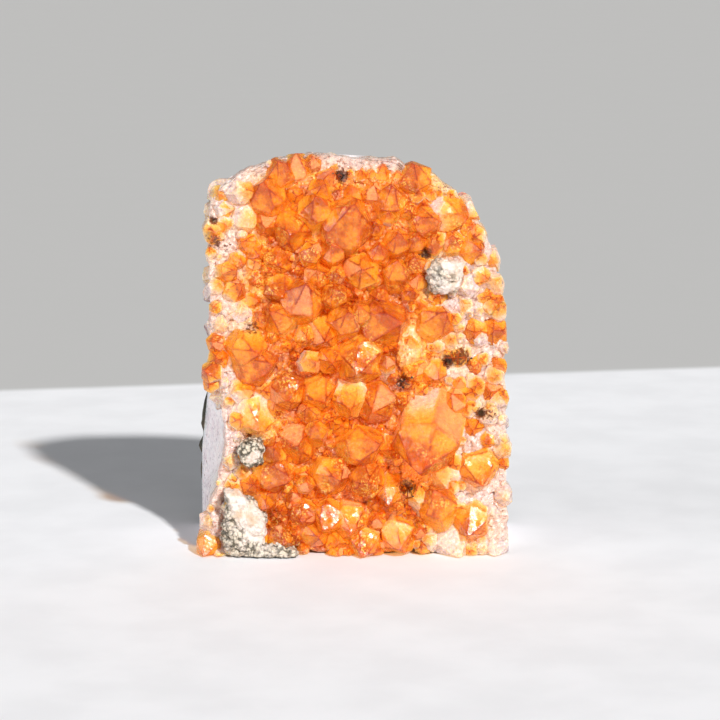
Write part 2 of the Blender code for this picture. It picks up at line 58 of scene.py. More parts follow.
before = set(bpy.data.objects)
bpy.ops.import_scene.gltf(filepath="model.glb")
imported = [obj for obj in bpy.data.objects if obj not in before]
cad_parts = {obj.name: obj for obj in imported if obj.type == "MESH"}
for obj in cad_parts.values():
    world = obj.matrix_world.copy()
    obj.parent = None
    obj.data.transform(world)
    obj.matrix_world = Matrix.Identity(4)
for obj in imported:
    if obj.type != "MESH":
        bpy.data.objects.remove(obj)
CAD_BOX = [list(corner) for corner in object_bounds()]
MM = 0.001

# Where the layers lie before the whole is centred, in millimetres: y at the base, change per height.
DRUSE_BACK = (-14.0, 0.10)
FLOOR = 4.4
GAP = 0.3
LEFTMOST_QUARTZ = -44.6
DRUSE_TOP = 110.8
QUARTZ_BACK = (17.0, -0.12)
RIND_BACK = (26.3, -0.17)

# How the picture was taken: the plane that is seen at its own size, how much lower things look for
# each millimetre nearer, the camera's distance and tilt, and what it looks at.
SIGHT_PLANE, SIGHT_DROP, SIGHT_DISTANCE, SIGHT_TILT = 16.0, 0.194, 800.0, 11.0
SIGHT_X, SIGHT_Z = 1.7, 56.0

# The points that the eye can tell apart: tip x, tip z, root x, root z, radius, how far the tip stands
# out of the quartz, how orange it is, from 0 for white to 1 for deep orange, and twist in degrees.
POINTS = np.array([
    (-27.5, 103, -36, 103.3, 3.3, 9, 0.4, 30), (-37, 102.4, -36, 101.6, 3.2, 7, 0.5, 0),
    (-33.6, 98, -38.5, 98.2, 2.4, 8, 0.5, 0), (-27.5, 93.5, -31.5, 97.5, 4.4, 8.5, 0.25, 15),
    (-34, 95, -33, 93.5, 3, 7, 0.25, 0), (-24.6, 105.7, -22.5, 99, 5.2, 11, 0.9, -30),
    (-17.5, 91.2, -17, 93.5, 6.6, 12, 0.95, 10), (-24.3, 93, -23, 95.5, 3.9, 9.5, 0.8, 30),
    (-31, 89.3, -27.5, 88.3, 3, 8, 0.75, 0), (-4.8, 110, -7, 109.5, 3.8, 5.5, 0.25, 30),
    (-5.6, 108.8, -8.5, 103.5, 3.4, 8.5, 0.7, 0), (-8.2, 105.2, -10.5, 101, 3.2, 10, 0.75, 30),
    (-10.6, 101.7, -11.2, 94, 4.6, 12, 0.75, 30), (0.2, 99.6, -3.4, 91.5, 7.8, 13, 0.85, 0),
    (-0.5, 104.2, 0, 100, 3, 7.5, 0.7, 30), (5.4, 104.9, 5, 100.5, 3.2, 8, 0.7, 0),
    (10.4, 105, 9.3, 97.5, 4.8, 9.5, 0.65, 0), (9.6, 97.4, 9, 94, 2.1, 9, 0.6, 0),
    (2, 109, 1.5, 106, 2.3, 6.5, 0.55, 0), (4.8, 108.9, 4.7, 106.4, 1.6, 6.5, 0.55, 30),
    (12, 108.6, 12, 106, 1.9, 6, 0.5, 0), (12.2, 91.8, 11.4, 86.5, 4, 10, 0.85, 30),
    (23.4, 95, 17.3, 94.2, 4.4, 10.5, 0.8, 0), (31.2, 95.4, 23.5, 97.6, 5.2, 9, 0.65, 30),
    (17.6, 103.6, 17, 100, 2.3, 7, 0.45, 0), (21.6, 103.2, 20.6, 100.8, 1.9, 6.5, 0.5, 30),
    (34.5, 96.6, 31, 99, 3, 6.5, 0.45, 0), (32.6, 93.8, 29.5, 92, 2.2, 7.5, 0.7, 0),
    (35.2, 87, 30.5, 87.6, 3.8, 8.5, 0.8, 30), (27.3, 91, 27.3, 87, 3.2, 9, 0.75, 0),
    (21.6, 90.4, 22.6, 86.8, 3.1, 9, 0.75, 30), (17.3, 91, 17, 87, 3, 9.5, 0.8, 0),
    (16.6, 85.2, 17, 82, 3.2, 9, 0.8, 0), (2.2, 81.8, 1.8, 80.4, 4.8, 13, 0.6, 30),
    (7, 88.5, 6.6, 82, 2.8, 10.5, 0.85, 0), (12, 84.2, 11.5, 76, 3.6, 11, 0.9, 0),
    (18, 80.2, 17, 76.5, 2.8, 8, 0.7, 30), (-6, 88.5, -5.8, 83, 3.6, 11, 0.85, 30),
    (-11.5, 88, -12, 83, 3.2, 11, 0.75, 0), (-10, 81.4, -10, 77.5, 3.6, 12, 0.8, 30),
    (-4.8, 80.9, -5, 78, 2.4, 12.5, 0.8, 0), (-13.2, 77.7, -14.8, 70, 6.2, 13.5, 0.95, 0),
    (-5.2, 76.3, -5.5, 72, 3.4, 13.5, 0.9, 30), (-22.9, 70, -18, 67.5, 4.8, 11.5, 0.85, 0),
    (-26.2, 69.6, -24.5, 65, 2.4, 8.5, 0.85, 30), (13.1, 67.3, 6, 67.2, 7.2, 13, 0.95, 0),
    (-1.6, 70, -4, 65.5, 4.4, 14, 0.85, 30), (1.4, 71.6, 2, 66, 3.2, 13, 0.9, 30),
    (-8, 62, -9, 66, 4.8, 13, 0.8, 30), (-13, 62.5, -13.5, 65, 3, 12.5, 0.8, 0),
    (-32.3, 81.6, -38, 80.6, 3, 8.5, 0.75, 30), (-30.7, 83.2, -34, 85.2, 2.6, 7.5, 0.65, 0),
    (-31.3, 77.8, -35, 74.3, 3.2, 8.5, 0.65, 0), (-37, 78.2, -39.2, 76, 2.4, 7.5, 0.4, 30),
    (-38.8, 71.8, -36.6, 70.9, 1.7, 8, 0.7, 0), (-30.8, 71.6, -31.6, 68.5, 3, 8, 0.05, 30),
    (-28.6, 67.5, -29, 67, 3, 7, 0.05, 0), (-36.5, 67, -37, 66.5, 3.8, 7.5, 0.2, 20),
    (-27.6, 78, -25.5, 79.6, 2.2, 7.5, 0.75, 0), (-19.5, 74.2, -21.6, 77.8, 4.6, 10, 0.6, -30),
    (-26.4, 73, -28.6, 74.2, 2.8, 7.5, 0.45, 0), (-26.3, 85.3, -27, 87, 3.2, 8, 0.75, 0),
    (-21, 83, -20.8, 85.5, 3.9, 10, 0.75, 30), (-26.4, 58.5, -32, 61.2, 5, 13, 0.8, 30),
    (-22.6, 55.6, -29.5, 55.8, 6, 11.5, 0.9, 0), (-39, 61.6, -36.8, 61.5, 2.6, 8.5, 0.7, 0),
    (-41.2, 54, -36.8, 53.4, 3.2, 9.5, 0.65, 30), (-38, 57.4, -37, 57, 2.8, 8.5, 0.7, 0),
    (-27.8, 48.4, -34, 48.3, 3.8, 9, 0.5, 30), (-40, 50, -38.5, 50, 2.2, 7, 0.65, 0),
    (-26, 37.3, -28.6, 43.5, 6.4, 10.5, 0.45, 30), (-18, 45.5, -18.6, 50.5, 5, 13, 1, 15),
    (-8, 45, -11, 50, 4.8, 12.5, 0.8, -30), (-10.4, 56.2, -14.5, 56.5, 3, 12, 0.5, 0),
    (-13, 43.6, -11, 41.5, 3.2, 11, 0.9, 0), (0.8, 53.2, 2.6, 59.5, 6.4, 15, 0.7, 0),
    (-6, 56, -7.5, 58.5, 4, 13, 0.85, 30), (-0.8, 43, -1, 49, 5.2, 13, 0.4, 0),
    (5, 42.3, 6.6, 46.6, 5.6, 12.5, 0.85, 0), (9.2, 57.9, 9.4, 50, 2.1, 12, 0.8, 30),
    (-10.5, 38.8, -10.5, 33.5, 2.9, 12, 0.9, 0), (7.3, 33.4, -1, 33.3, 5.8, 12.5, 0.85, 0),
    (-15.4, 33, -16, 34.4, 5.8, 12, 0.8, 0), (-22.4, 33, -22.2, 30.5, 3.8, 11, 0.75, -30),
    (9.4, 32, 9.6, 34, 3.2, 9.5, 0.5, 30), (18.2, 25.3, 22, 42, 8.8, 17, 0.8, 30),
    (27.2, 47.4, 29.8, 43.8, 3.3, 10, 0.7, 0), (35.8, 21.9, 34.2, 29.5, 5.8, 10.5, 0.75, 0),
    (23, 25.5, 26.5, 25, 4.8, 9.5, 0.2, 0), (21.8, 20.6, 24.8, 12.5, 5.2, 12, 0.9, 30),
    (31.6, 8.4, 33.4, 15.5, 4.8, 12, 0.7, 0), (38.5, 14, 38, 14.5, 3.4, 7.5, 0.05, 0),
    (29.8, 1.9, 26.5, 8, 5.2, 9.5, 0.15, 0), (39.3, 1.6, 38.8, 7, 4, 8, 0.05, 30),
    (2.4, 2.2, 3.6, 8.2, 4.8, 11, 0.7, 0), (12.8, 4.2, 12.2, 11, 4.9, 10.5, 0.55, 30),
    (-8.6, 9.8, -6.3, 16, 4.8, 12.5, 0.85, 0), (-0.8, 9, -2, 15, 5, 12, 0.7, -30),
    (4.2, 23, 3.2, 24.2, 5, 14, 0.75, 10), (9.6, 16.6, 10.6, 25, 3.3, 12, 0.95, 0),
    (12, 15.2, 11.6, 18, 2, 11, 0.9, 30), (18, 22.2, 18, 14, 3, 9.5, 0.5, 30),
    (-3.9, 23.2, -8.3, 26.5, 5.2, 13, 0.7, 30), (-13.2, 23, -14, 21, 2.4, 12, 0.7, 0),
    (-14.6, 12, -13, 17, 3.6, 12, 0.85, 0), (-17.5, 23.6, -26, 26.4, 4.8, 11, 0.7, 0),
    (-27.6, 22.4, -29.6, 22.2, 3, 10, 0.85, 30), (-24.3, 15.8, -26.4, 19.4, 3.4, 10.5, 0.8, 0),
    (-18.8, 6, -22, 9.6, 4, 11, 0.85, 0), (-41.8, 2.5, -40, 7, 3.8, 9, 0.85, 0),
    (-40, 12.3, -39.6, 12, 3.2, 7, 0.3, 30), (-9.8, 7.6, -12.4, 10, 3.8, 11, 0.8, 30),
    (-4, 6, -5, 8.5, 3, 9, 0.5, 0), (38, 48, 38.2, 48.2, 3.6, 8, 0.7, 15),
    (39.6, 55.5, 39.4, 55.6, 2.8, 7.5, 0.7, 0), (33.4, 64.4, 33.8, 65.2, 3.6, 9, 0.75, 0),
    (38.6, 65, 38.2, 65, 4.6, 8.5, 0.75, 30), (25.4, 70.1, 20.6, 66, 5.2, 10.5, 0.7, 0),
    (23.4, 51.6, 22, 55.8, 3.5, 9.5, 0.7, 30), (16.5, 51.8, 16, 55.5, 3.2, 9, 0.6, 0),
    (15.5, 63, 15, 60.5, 4.2, 8, 0.2, 0), (29.6, 77, 32.6, 77.6, 3.6, 9, 0.15, 30),
    (36.8, 79, 32.5, 81.2, 2.9, 8.5, 0.5, 0), (38.6, 83.5, 38, 85, 3.2, 6.5, 0.4, 30),
    (37.5, 74.5, 36.6, 74, 3, 8, 0.5, 0), (23.5, 74.6, 23, 73.8, 2.6, 8, 0.7, 0),
    (18.6, 72, 18.2, 70.6, 2, 8, 0.7, 30), (29.5, 51.2, 29, 49.5, 2.2, 8, 0.6, 0),
    (33, 55, 33.5, 56, 3.8, 7.5, 0.7, 0), (37.6, 33.6, 36, 37, 2, 8, 0.65, 0),
    (41.5, 28, 40.5, 29, 2.2, 7, 0.65, 30), (33, 37.5, 33, 39, 3.6, 8, 0.65, 0),
    (14.2, 44.5, 13, 46, 3, 8.5, 0.85, 30), (-20.8, 111.2, -20, 105, 4.2, 9, 0.8, 30),
    (-16, 113, -15.5, 107.5, 4.2, 7.5, 0.55, 0), (-11.2, 112.6, -11.6, 108, 2.4, 8, 0.8, 30),
    (8, 110.6, 7.4, 106, 2.8, 6.5, 0.7, 0), (16.4, 110.8, 16.5, 104.5, 4.8, 8.5, 0.8, 30),

])

# The druse's front edge in X and Z, from the lower left corner round the right side to the left.
OUTLINE = np.array([
    (-41.5, 0), (43.3, 0), (43.3, 12), (43.0, 26), (42.7, 40), (42.3, 54), (41.6, 66), (40.7, 76),
    (38.9, 84), (36.2, 91.4), (32.4, 97.1), (27.4, 101.9), (20.6, 106.2), (12.6, 109.2),
    (4.0, 110.8), (-4.0, 111.3), (-12.0, 110.8), (-20.0, 109.6), (-28.0, 107.7), (-34.4, 105.2),
    (-38.8, 101.2), (-40.8, 94), (-40.9, 82), (-40.4, 70), (-40.0, 58), (-38.0, 47), (-36.2, 36),
    (-37.2, 26), (-40.6, 14),
])

# The back edge of the quartz slab, where the rock rind begins, in X and Z.
BACK = np.array([
    (-44.6, 0), (-22, 0), (0, 0), (21, 0), (43.2, 0), (43.0, 12), (42.6, 26), (42.0, 40), (41.2, 54),
    (40.2, 66), (39.0, 76), (36.8, 84), (33.6, 90.5), (29.6, 95.6), (24.6, 99.8), (18.4, 103.4),
    (11.4, 105.6), (4.0, 106.6), (-4.0, 107.0), (-12.0, 106.8), (-20.0, 105.8), (-27.6, 103.8),
    (-33.4, 101.0), (-37.2, 97.2), (-38.8, 92), (-39.6, 82), (-40.4, 70), (-41.2, 58), (-41.8, 47),
    (-42.9, 36), (-44.3, 24), (-44.6, 12),
])

# What the saw left of the sides and the top, in X and Z, from the lower left corner round the right.
SAW = np.array([
    (-43.4, 0.4), (43.6, 0.4), (43.3, 30), (42.5, 56), (41.2, 76), (38.2, 87.5), (32.6, 98.6),
    (23.0, 106.4), (10.0, 111.2), (-5.0, 112.8), (-22.0, 111.0), (-34.4, 107.2), (-39.8, 102.2),
    (-41.8, 90), (-42.2, 50), (-43.4, 12),
])

# How far points may stand beyond the saw's cuts at the top and the sides, how low they may reach, and
# how far beyond the box of the solids.
OVER_TOP, OVER_SIDE, LOWEST, BEYOND_BOX = 0.8, 0.1, 0.4, 0.9

# Quartz points: how far their end faces lean, how far below the tip the middle of the head lies, in
# radii, how much wider than in the table they are, the tone from which a point counts as orange, and the
# way to the front. Quartz bends light by its IOR.
FACE_LEAN = math.radians(51.8)
HEAD = 1.25
WIDER = 1.1 * 1.07
ORANGE_FROM = 0.8
FORWARD = np.array([0.0, -1.0, 0.0])
QUARTZ_IOR = 1.544

# From where a swell leaves no room for points and a stain holds dark grains, the angle in degrees from
# which an edge is shaded sharp, and how far the floor reaches, in millimetres.
SWELL_EDGE, BLACK_FROM = 0.55, 0.55
CREASE = 17
FLOOR_REACH = 4000.0

# Where grainy white or lilac quartz swells up between the points: x, z, width, height, how thick.
SWELLS = np.array([
    (-34, 106, 6, 3.5, 2.0), (-33, 71, 5, 2.6, 1.5), (-36, 89, 4, 4, 0.9), (-30, 66, 5, 2.4, 1.2),
    (15, 60, 3.6, 7, 2.0), (27, 53.5, 6, 2, 1.6), (39, 39, 3, 4, 0.8), (12, 40, 3, 5, 0.9),
    (26, 71, 4, 3, 1.4), (39, 90, 2, 4, 1.0), (24, 105, 5, 2.4, 1.0), (33, 34, 3, 5, 1.3),
    (39, 9, 3, 6, 1.3), (26, 4, 4, 3, 0.8), (-39, 12, 3, 3, 1.2), (-39, 20, 3, 4, 1.2),
    (-36, 33, 3, 7, 1.2), (-33, 50, 3, 3, 1.0), (-26, 76, 3, 4, 0.9), (-24, 35, 3, 3, 0.9),
])

# Dark mineral grains and brown stains: x, z, spread in millimetres, blackness.
STAINS = np.array([
    (-3.5, 107.5, 1.7, 1.0), (-38.5, 95.3, 1.2, 0.9), (19.9, 86.3, 1.4, 0.9),
    (26.0, 56.7, 1.6, 1.0), (35.3, 42.2, 1.4, 1.0), (37.5, 41.5, 1.8, 0.5),
    (29.3, 57.8, 2.4, 0.75), (13.5, 51.0, 2.0, 0.7), (14.7, 21.5, 2.6, 0.65),
    (-28.0, 65.8, 2.6, 0.45), (-38.5, 89.6, 1.8, 0.55), (-35.0, 88.4, 1.6, 0.4),
    (24.5, 104.4, 1.6, 0.35), (-29.4, 34.6, 2.0, 0.7), (22.2, 78.0, 2.0, 0.5),
    (-38.0, 38.0, 0.9, 0.4), (-37.2, 34.8, 0.9, 0.4), (9.0, 17.5, 1.6, 0.4),
])

# Calcite crusts, as in the solids: middle x and z, how far out, half the thickness, outline.
CRUSTS = {
    "calcite_low": ("calcite_crust_low", [
        (-30.0, 11.0, 7.6, 4.4, [
            (-36, 21.5), (-33.5, 22.3), (-31, 20.5), (-26.5, 16), (-23.5, 14), (-24, 11),
            (-24.5, 8), (-25, 5), (-25, 2.5), (-28, 1.6), (-32, 2.3), (-36, 4), (-36.5, 8),
            (-36, 12), (-35, 17),
        ]),
        (-21.5, 3.6, 6.6, 3.8, [
            (-28, 6), (-24, 6.2), (-19, 5.2), (-15.6, 4.4), (-15.8, 1.9), (-20, 1.7), (-25, 1.7),
            (-28, 2.2),
        ]),
    ]),
    "calcite_mid": ("calcite_crust_mid", [
        (-28.0, 31.8, 7.6, 4.6, [
            (-31.4, 34.8), (-28.4, 36), (-25.2, 34.6), (-24.6, 31), (-25.4, 28), (-28.4, 27.2),
            (-31.2, 29),
        ]),
    ]),
    "calcite_high": ("calcite_crust_high", [
        (25.0, 79.8, 6.6, 3.8, [
            (19.4, 81.5), (22.0, 85.4), (26.0, 85.2), (30.4, 83.0), (30.6, 78.5), (27.5, 75.0),
            (22.5, 74.8), (19.6, 77.4),
        ]),
    ]),
}

# Smooth white streaks of the calcite, which is grainy and grey elsewhere: from x, z to x, z, half width.
STREAKS = np.array([
    (-33.6, 20.6, -30.6, 15.5, 2.0), (-30.6, 15.5, -26.4, 9.5, 3.0), (-28.6, 29.4, -27.0, 30.6, 1.1),
    (26.0, 83.5, 29.5, 81.5, 1.8), (24.5, 76.0, 28.5, 77.5, 1.0),
])


def layer_y(plane, z):
    """The y of one of the leaning layers at these heights, before the centring."""
    return plane[0] + plane[1] * z


def centring():
    """How far the solids were moved when they were centred, in millimetres."""
    low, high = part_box("quartz_bed")
    front = DRUSE_BACK[0] + GAP * math.hypot(1, DRUSE_BACK[1])
    return np.array([low.x / MM - LEFTMOST_QUARTZ, low.y / MM - front, 0.0])


SHIFT = centring()


def placed(x, seen_z, out):
    """Millimetre points for x, heights as seen and distances out of the quartz, all as arrays. The view
    comes from 11 degrees above and 0.8 m away, so what lies deeper is lower and spreads a little."""
    x, seen_z, out = np.broadcast_arrays(*(np.asarray(v, float) for v in (x, seen_z, out)))
    deeper = SIGHT_PLANE - out
    spread = 1 + deeper / SIGHT_DISTANCE
    z = SIGHT_Z + (seen_z - SIGHT_Z) * spread - deeper * SIGHT_DROP
    return np.stack([SIGHT_X + (x - SIGHT_X) * spread, layer_y(DRUSE_BACK, z) - out, z], -1) + SHIFT


def seen(points):
    """The table's x and height as seen for millimetre points: placed() turned round."""
    p = points - SHIFT
    deeper = SIGHT_PLANE - (layer_y(DRUSE_BACK, p[..., 2]) - p[..., 1])
    spread = 1 + deeper / SIGHT_DISTANCE
    x = SIGHT_X + (p[..., 0] - SIGHT_X) / spread
    z = SIGHT_Z + (p[..., 2] + deeper * SIGHT_DROP - SIGHT_Z) / spread
    return x, z


def hashed(*cells):
    """A repeatable number from 0 to 1 for each whole-number cell: the fraction of a large sine."""
    mixed = sum(c * k for c, k in zip(cells, (127.1, 311.7, 74.7, 269.5)))
    return np.modf(np.abs(np.sin(mixed) * 43758.5453))[0]


def value_noise(p, size):
    """Smooth noise from -1 to 1: random values at whole cells of this size, blended by a cubic."""
    q = p / size
    cell = np.floor(q)
    f = q - cell
    f = f * f * (3 - 2 * f)
    total = 0
    for corner in range(8):
        step = np.array([corner & 1, corner >> 1 & 1, corner >> 2 & 1])
        weight = np.prod(np.where(step, f, 1 - f), -1)
        c = cell + step
        total = total + weight * hashed(c[..., 0], c[..., 1], c[..., 2])
    return total * 2 - 1


def noise_at(x, y, z, size):
    """The same noise at places given as three arrays or numbers."""
    return value_noise(np.stack(np.broadcast_arrays(x, y, z), -1), size)


def cells(x, z, size, seed):
    """For each place, the nearest of a grid of jittered points: its distance in cell widths, its random
    number, and the height of a plane that leans through it in a random direction, 1 per cell width."""
    u, v = x / size, z / size
    cu, cv = np.floor(u), np.floor(v)
    best = np.full(u.shape, 9.0)
    name = np.zeros(u.shape)
    slant = np.zeros(u.shape)
    for du in (-1, 0, 1):
        for dv in (-1, 0, 1):
            a, b = cu + du, cv + dv
            across = a + hashed(a, b, seed) - u
            up = b + hashed(b, a, seed + 5) - v
            near = np.hypot(across, up)
            turn = hashed(b, a, seed + 13) * math.tau
            closer = near < best
            best = np.where(closer, near, best)
            name = np.where(closer, hashed(a, b, seed + 9), name)
            slant = np.where(closer, across * np.cos(turn) + up * np.sin(turn), slant)
    return best, name, slant


def smooth(low, high, value):
    """0 below low, 1 above high and a cubic ease between them."""
    t = np.clip((value - low) / (high - low), 0, 1)
    return t * t * (3 - 2 * t)


def blot(x, z, spots):
    """The strongest of a table's spots at each place: one minus a share of the squared distance. A row
    is x, z, width, strength, or x, z, width, height, strength."""
    total = np.zeros(np.shape(x))
    for cx, cz, wide, *high, strength in spots:
        far = ((x - cx) / wide) ** 2 + ((z - cz) / (high[0] if high else wide)) ** 2
        total = np.maximum(total, strength * np.clip(1 - far / 2.2, 0, 1))
    return total


def from_line(x, z, start, end):
    """How far each place lies from the line between two places."""
    run = np.subtract(end, start)
    share = np.clip(((x - start[0]) * run[0] + (z - start[1]) * run[1]) / (run**2).sum(), 0, 1)
    return np.hypot(x - start[0] - share * run[0], z - start[1] - share * run[1])


def orange_zone(x, z):
    """How orange the middle of the druse is at each place: 1 in the middle, 0 at the pale borders."""
    left = smooth(-36, -18, x + 3 * np.sin(z * 0.11))
    right = 1 - smooth(12, 33, x + 4 * np.sin(z * 0.09 + 1))
    top = 1 - 0.7 * smooth(104, 113, z + 0.05 * np.abs(x))
    return left * right * top


def druse_sides(height):
    """The x of the druse's left and right edge at each height."""
    return (np.interp(height, OUTLINE[:14:-1, 1], OUTLINE[:14:-1, 0]),
            np.interp(height, OUTLINE[1:16, 1], OUTLINE[1:16, 0]))


def mesh_object(name, verts, faces, attributes=None, smooth_shaded=False, crease=0):
    """An object from arrays of points in millimetres and of faces, with its float attributes. Edges that
    bend by more than the crease angle, in degrees, are shaded sharp."""
    mesh = bpy.data.meshes.new(name)
    mesh.from_pydata((verts * MM).tolist(), [], faces if isinstance(faces, list) else faces.tolist())
    for title, values in (attributes or {}).items():
        layer = mesh.attributes.new(title, "FLOAT", "POINT")
        layer.data.foreach_set("value", np.asarray(values, np.float32))
    mesh.shade_smooth() if smooth_shaded else mesh.shade_flat()
    if crease:
        mesh.set_sharp_from_angle(angle=math.radians(crease))
    made = bpy.data.objects.new(name, mesh)
    bpy.context.scene.collection.objects.link(made)
    return made


def grid_faces(rows, columns, wrap=False):
    """Quads joining a grid of rows by columns of points, closed round the columns if wrap is set."""
    r, c = np.meshgrid(np.arange(rows - 1), np.arange(columns if wrap else columns - 1), indexing="ij")
    right = (c + 1) % columns
    quads = [r * columns + c, r * columns + right, (r + 1) * columns + right, (r + 1) * columns + c]
    return np.stack(quads, -1).reshape(-1, 4)


def fan(row, columns, pole):
    """Triangles that join one row of such a grid, closed to a ring, with the point at its pole."""
    a = np.arange(columns)
    b = (a + 1) % columns
    return np.stack([np.full(columns, pole), a + row * columns, b + row * columns], -1)


def quartz_planes(radii, depths, twists, seed):
    """The planes that bound each point, as normals and distances from the middle of its head: six walls,
    six end faces of which each second is set back, three cut corners and a foot. The point's axis is Z."""
    number = np.arange(len(radii))[:, None]
    side = np.arange(6)[None]
    r = radii[:, None]

    def chance(step, low, high):
        return low + (high - low) * hashed(number + seed, side, 0 * side + step)

    def leaning(turn, lean):
        return np.stack([np.sin(lean) * np.cos(turn), np.sin(lean) * np.sin(turn), np.cos(lean)], -1)

    turn = np.radians(60 * side + twists[:, None]) + chance(1, -0.06, 0.06)
    wall = np.stack([np.cos(turn), np.sin(turn), 0 * turn], -1)
    wall_far = r * chance(2, 0.80, 0.92)
    lean = FACE_LEAN + chance(3, -0.05, 0.05)
    end = leaning(turn, lean)
    back = np.where(side % 2, chance(4, 0.04, 0.30), chance(5, 0.0, 0.08))
    end_far = r * (HEAD + back) * np.cos(lean)
    turn = turn[:, :3] + math.pi / 6 + np.floor(chance(6, 0, 6))[:, :3] * math.pi / 3
    cut = leaning(turn, chance(7, 0.95, 1.35)[:, :3])
    cut_far = r * chance(8, 0.88, 1.02)[:, :3]
    foot = np.tile([0.0, 0.0, -1.0], (len(radii), 1, 1))
    foot_far = depths[:, None] - HEAD * r
    return (np.concatenate([wall, end, cut, foot], 1),
            np.concatenate([wall_far, end_far, cut_far, foot_far], 1))


def onto_edges(places, reach, normals, distances, order, within):
    """Places on each point's nearest plane moved onto the edge with the next plane where that lies within
    this share of their reach: along the nearest plane by gap / (1 - c^2) times (next - c nearest), c being
    the planes' cosine. Returns the places, and 1 for those on an edge and 0 for the others."""
    index = np.arange(len(places))[:, None]
    first, second = normals[index, order[..., 0]], normals[index, order[..., 1]]
    gap = distances[index, order[..., 1]] - (second * places).sum(-1)
    cosine = (first * second).sum(-1)
    slant = np.sqrt(np.maximum(1 - cosine**2, 1e-4))
    near = (gap / slant < within * reach) & (slant > 0.2)
    move = (second - cosine[..., None] * first) * (gap / slant**2)[..., None]
    return np.where(near[..., None], places + move, places), np.where(near, 1.0, 0.0)


def quartz_points(tips, axes, radii, depths, twists, tones, seed, rows, columns):
    """Quartz points as surfaces of two angles: along each direction from the middle of a point's head,
    the surface lies on the nearest of its planes, and a little noise roughens it. Returns the points,
    the faces and the values that the shader needs."""
    number = np.arange(len(tips))[:, None]
    normals, distances = quartz_planes(radii, depths, twists, seed)
    share = (np.arange(rows) + 1) / (rows + 1)
    fall = math.pi * (0.62 * share + 0.38 * share**3)
    t, f = np.meshgrid(fall, np.arange(columns) / columns * math.tau, indexing="ij")
    way = np.stack([np.cos(f) * np.sin(t), np.sin(f) * np.sin(t), np.cos(t)], -1).reshape(-1, 3)
    way = np.concatenate([way, [[0, 0, 1], [0, 0, -1]]])
    towards = np.einsum("npk,vk->nvp", normals, way)
    far = np.where(towards > 1e-4, distances[:, None] / np.maximum(towards, 1e-4), 1e9)
    order = np.argsort(far, axis=2)[..., :2]
    nearest = np.take_along_axis(far, order, 2)[..., :1]
    local, ridge = onto_edges(way[None] * nearest, nearest[..., 0], normals, distances, order, 1.4 / rows)

    # Each point's own axes: ahead, towards the front, then aside and along the point.
    ahead = FORWARD - axes * (axes @ FORWARD)[:, None]
    ahead /= np.linalg.norm(ahead, axis=1, keepdims=True)
    turned = np.stack([ahead, np.cross(axes, ahead), axes], 1)
    middle = tips - axes * (HEAD * radii)[:, None]
    verts = np.einsum("nvk,nkj->nvj", local, turned) + middle[:, None]
    rough = 0.07 * value_noise(verts, 1.9) + 0.03 * value_noise(verts, 0.8)
    rough = rough * smooth(0, 3, radii)[:, None]
    verts = verts + np.einsum("vk,nkj->nvj", way, turned) * rough[..., None]
    verts = sawn(verts.reshape(-1, 3))

    each = rows * columns + 2
    start = (number * each)[..., None]
    caps = np.concatenate([fan(0, columns, each - 2), fan(rows - 1, columns, each - 1)[:, ::-1]])
    faces = (grid_faces(rows, columns, wrap=True)[None] + start).reshape(-1, 4)[:, ::-1].tolist()
    faces += (caps[None] + start).reshape(-1, 3).tolist()

    # Each facet's own random shift of tone is partly tone that differs at random and partly painted light
    # and shade between facets.
    own = hashed(order[..., 0], number + seed)
    ripe = tones[:, None] + 0.30 * (own - 0.5) * smooth(0.2, 0.6, tones)[:, None]
    # Painted reflection: a few facets of orange points are marked to be painted pale, as if they reflected
    # the light.
    veil = np.where(own > 0.92, 0.6, 0.0) * (tones > 0.5)[:, None]
    from_tip = HEAD - local[..., 2] / radii[:, None]
    values = {"from_tip": from_tip.ravel(), "tone": ripe.ravel(), "veil": veil.ravel(),
              "ridge": ridge.ravel(), "stain": blot(*seen(verts), STAINS)}
    return verts, faces, values


def eased_past(value, limit, side):
    """A value that lies past its limit on this side, 1 for above and -1 for below, drawn halfway back."""
    return value - side * 0.5 * np.maximum(0, side * (value - limit))


def kept_in(verts, beyond=-0.05):
    """Points drawn back to the box that holds the solids, or this far beyond it, in millimetres."""
    low, high = (np.array(corner) / MM for corner in CAD_BOX)
    verts = np.clip(verts, low - beyond, high + beyond)
    verts[:, 2] = np.maximum(verts[:, 2], 0)
    return verts


def sawn(verts):
    """Points drawn halfway back to the saw's cuts at the top and the sides, and kept above the floor and
    in front of the slab, in millimetres."""
    p = verts - SHIFT
    top = np.interp(p[:, 0], SAW[12:4:-1, 0], SAW[12:4:-1, 1])
    right = np.interp(p[:, 2], SAW[1:7, 1], SAW[1:7, 0])
    left = np.interp(p[:, 2], SAW[:11:-1, 1], SAW[:11:-1, 0])
    p[:, 2] = np.maximum(eased_past(p[:, 2], top + OVER_TOP, 1), LOWEST)
    p[:, 0] = eased_past(eased_past(p[:, 0], right + OVER_SIDE, 1), left - OVER_SIDE, -1)
    p[:, 1] = np.minimum(p[:, 1], layer_y(DRUSE_BACK, p[:, 2]) - 0.1)
    return kept_in(p + SHIFT, BEYOND_BOX)


def put_on_stage(piece, material, replaced=()):
    """Gives a piece its material and its body, and hides the nodes it stands for."""
    piece.data.materials.clear()
    piece.data.materials.append(material)
    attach(piece, "root")
    for node in replaced:
        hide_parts(node)


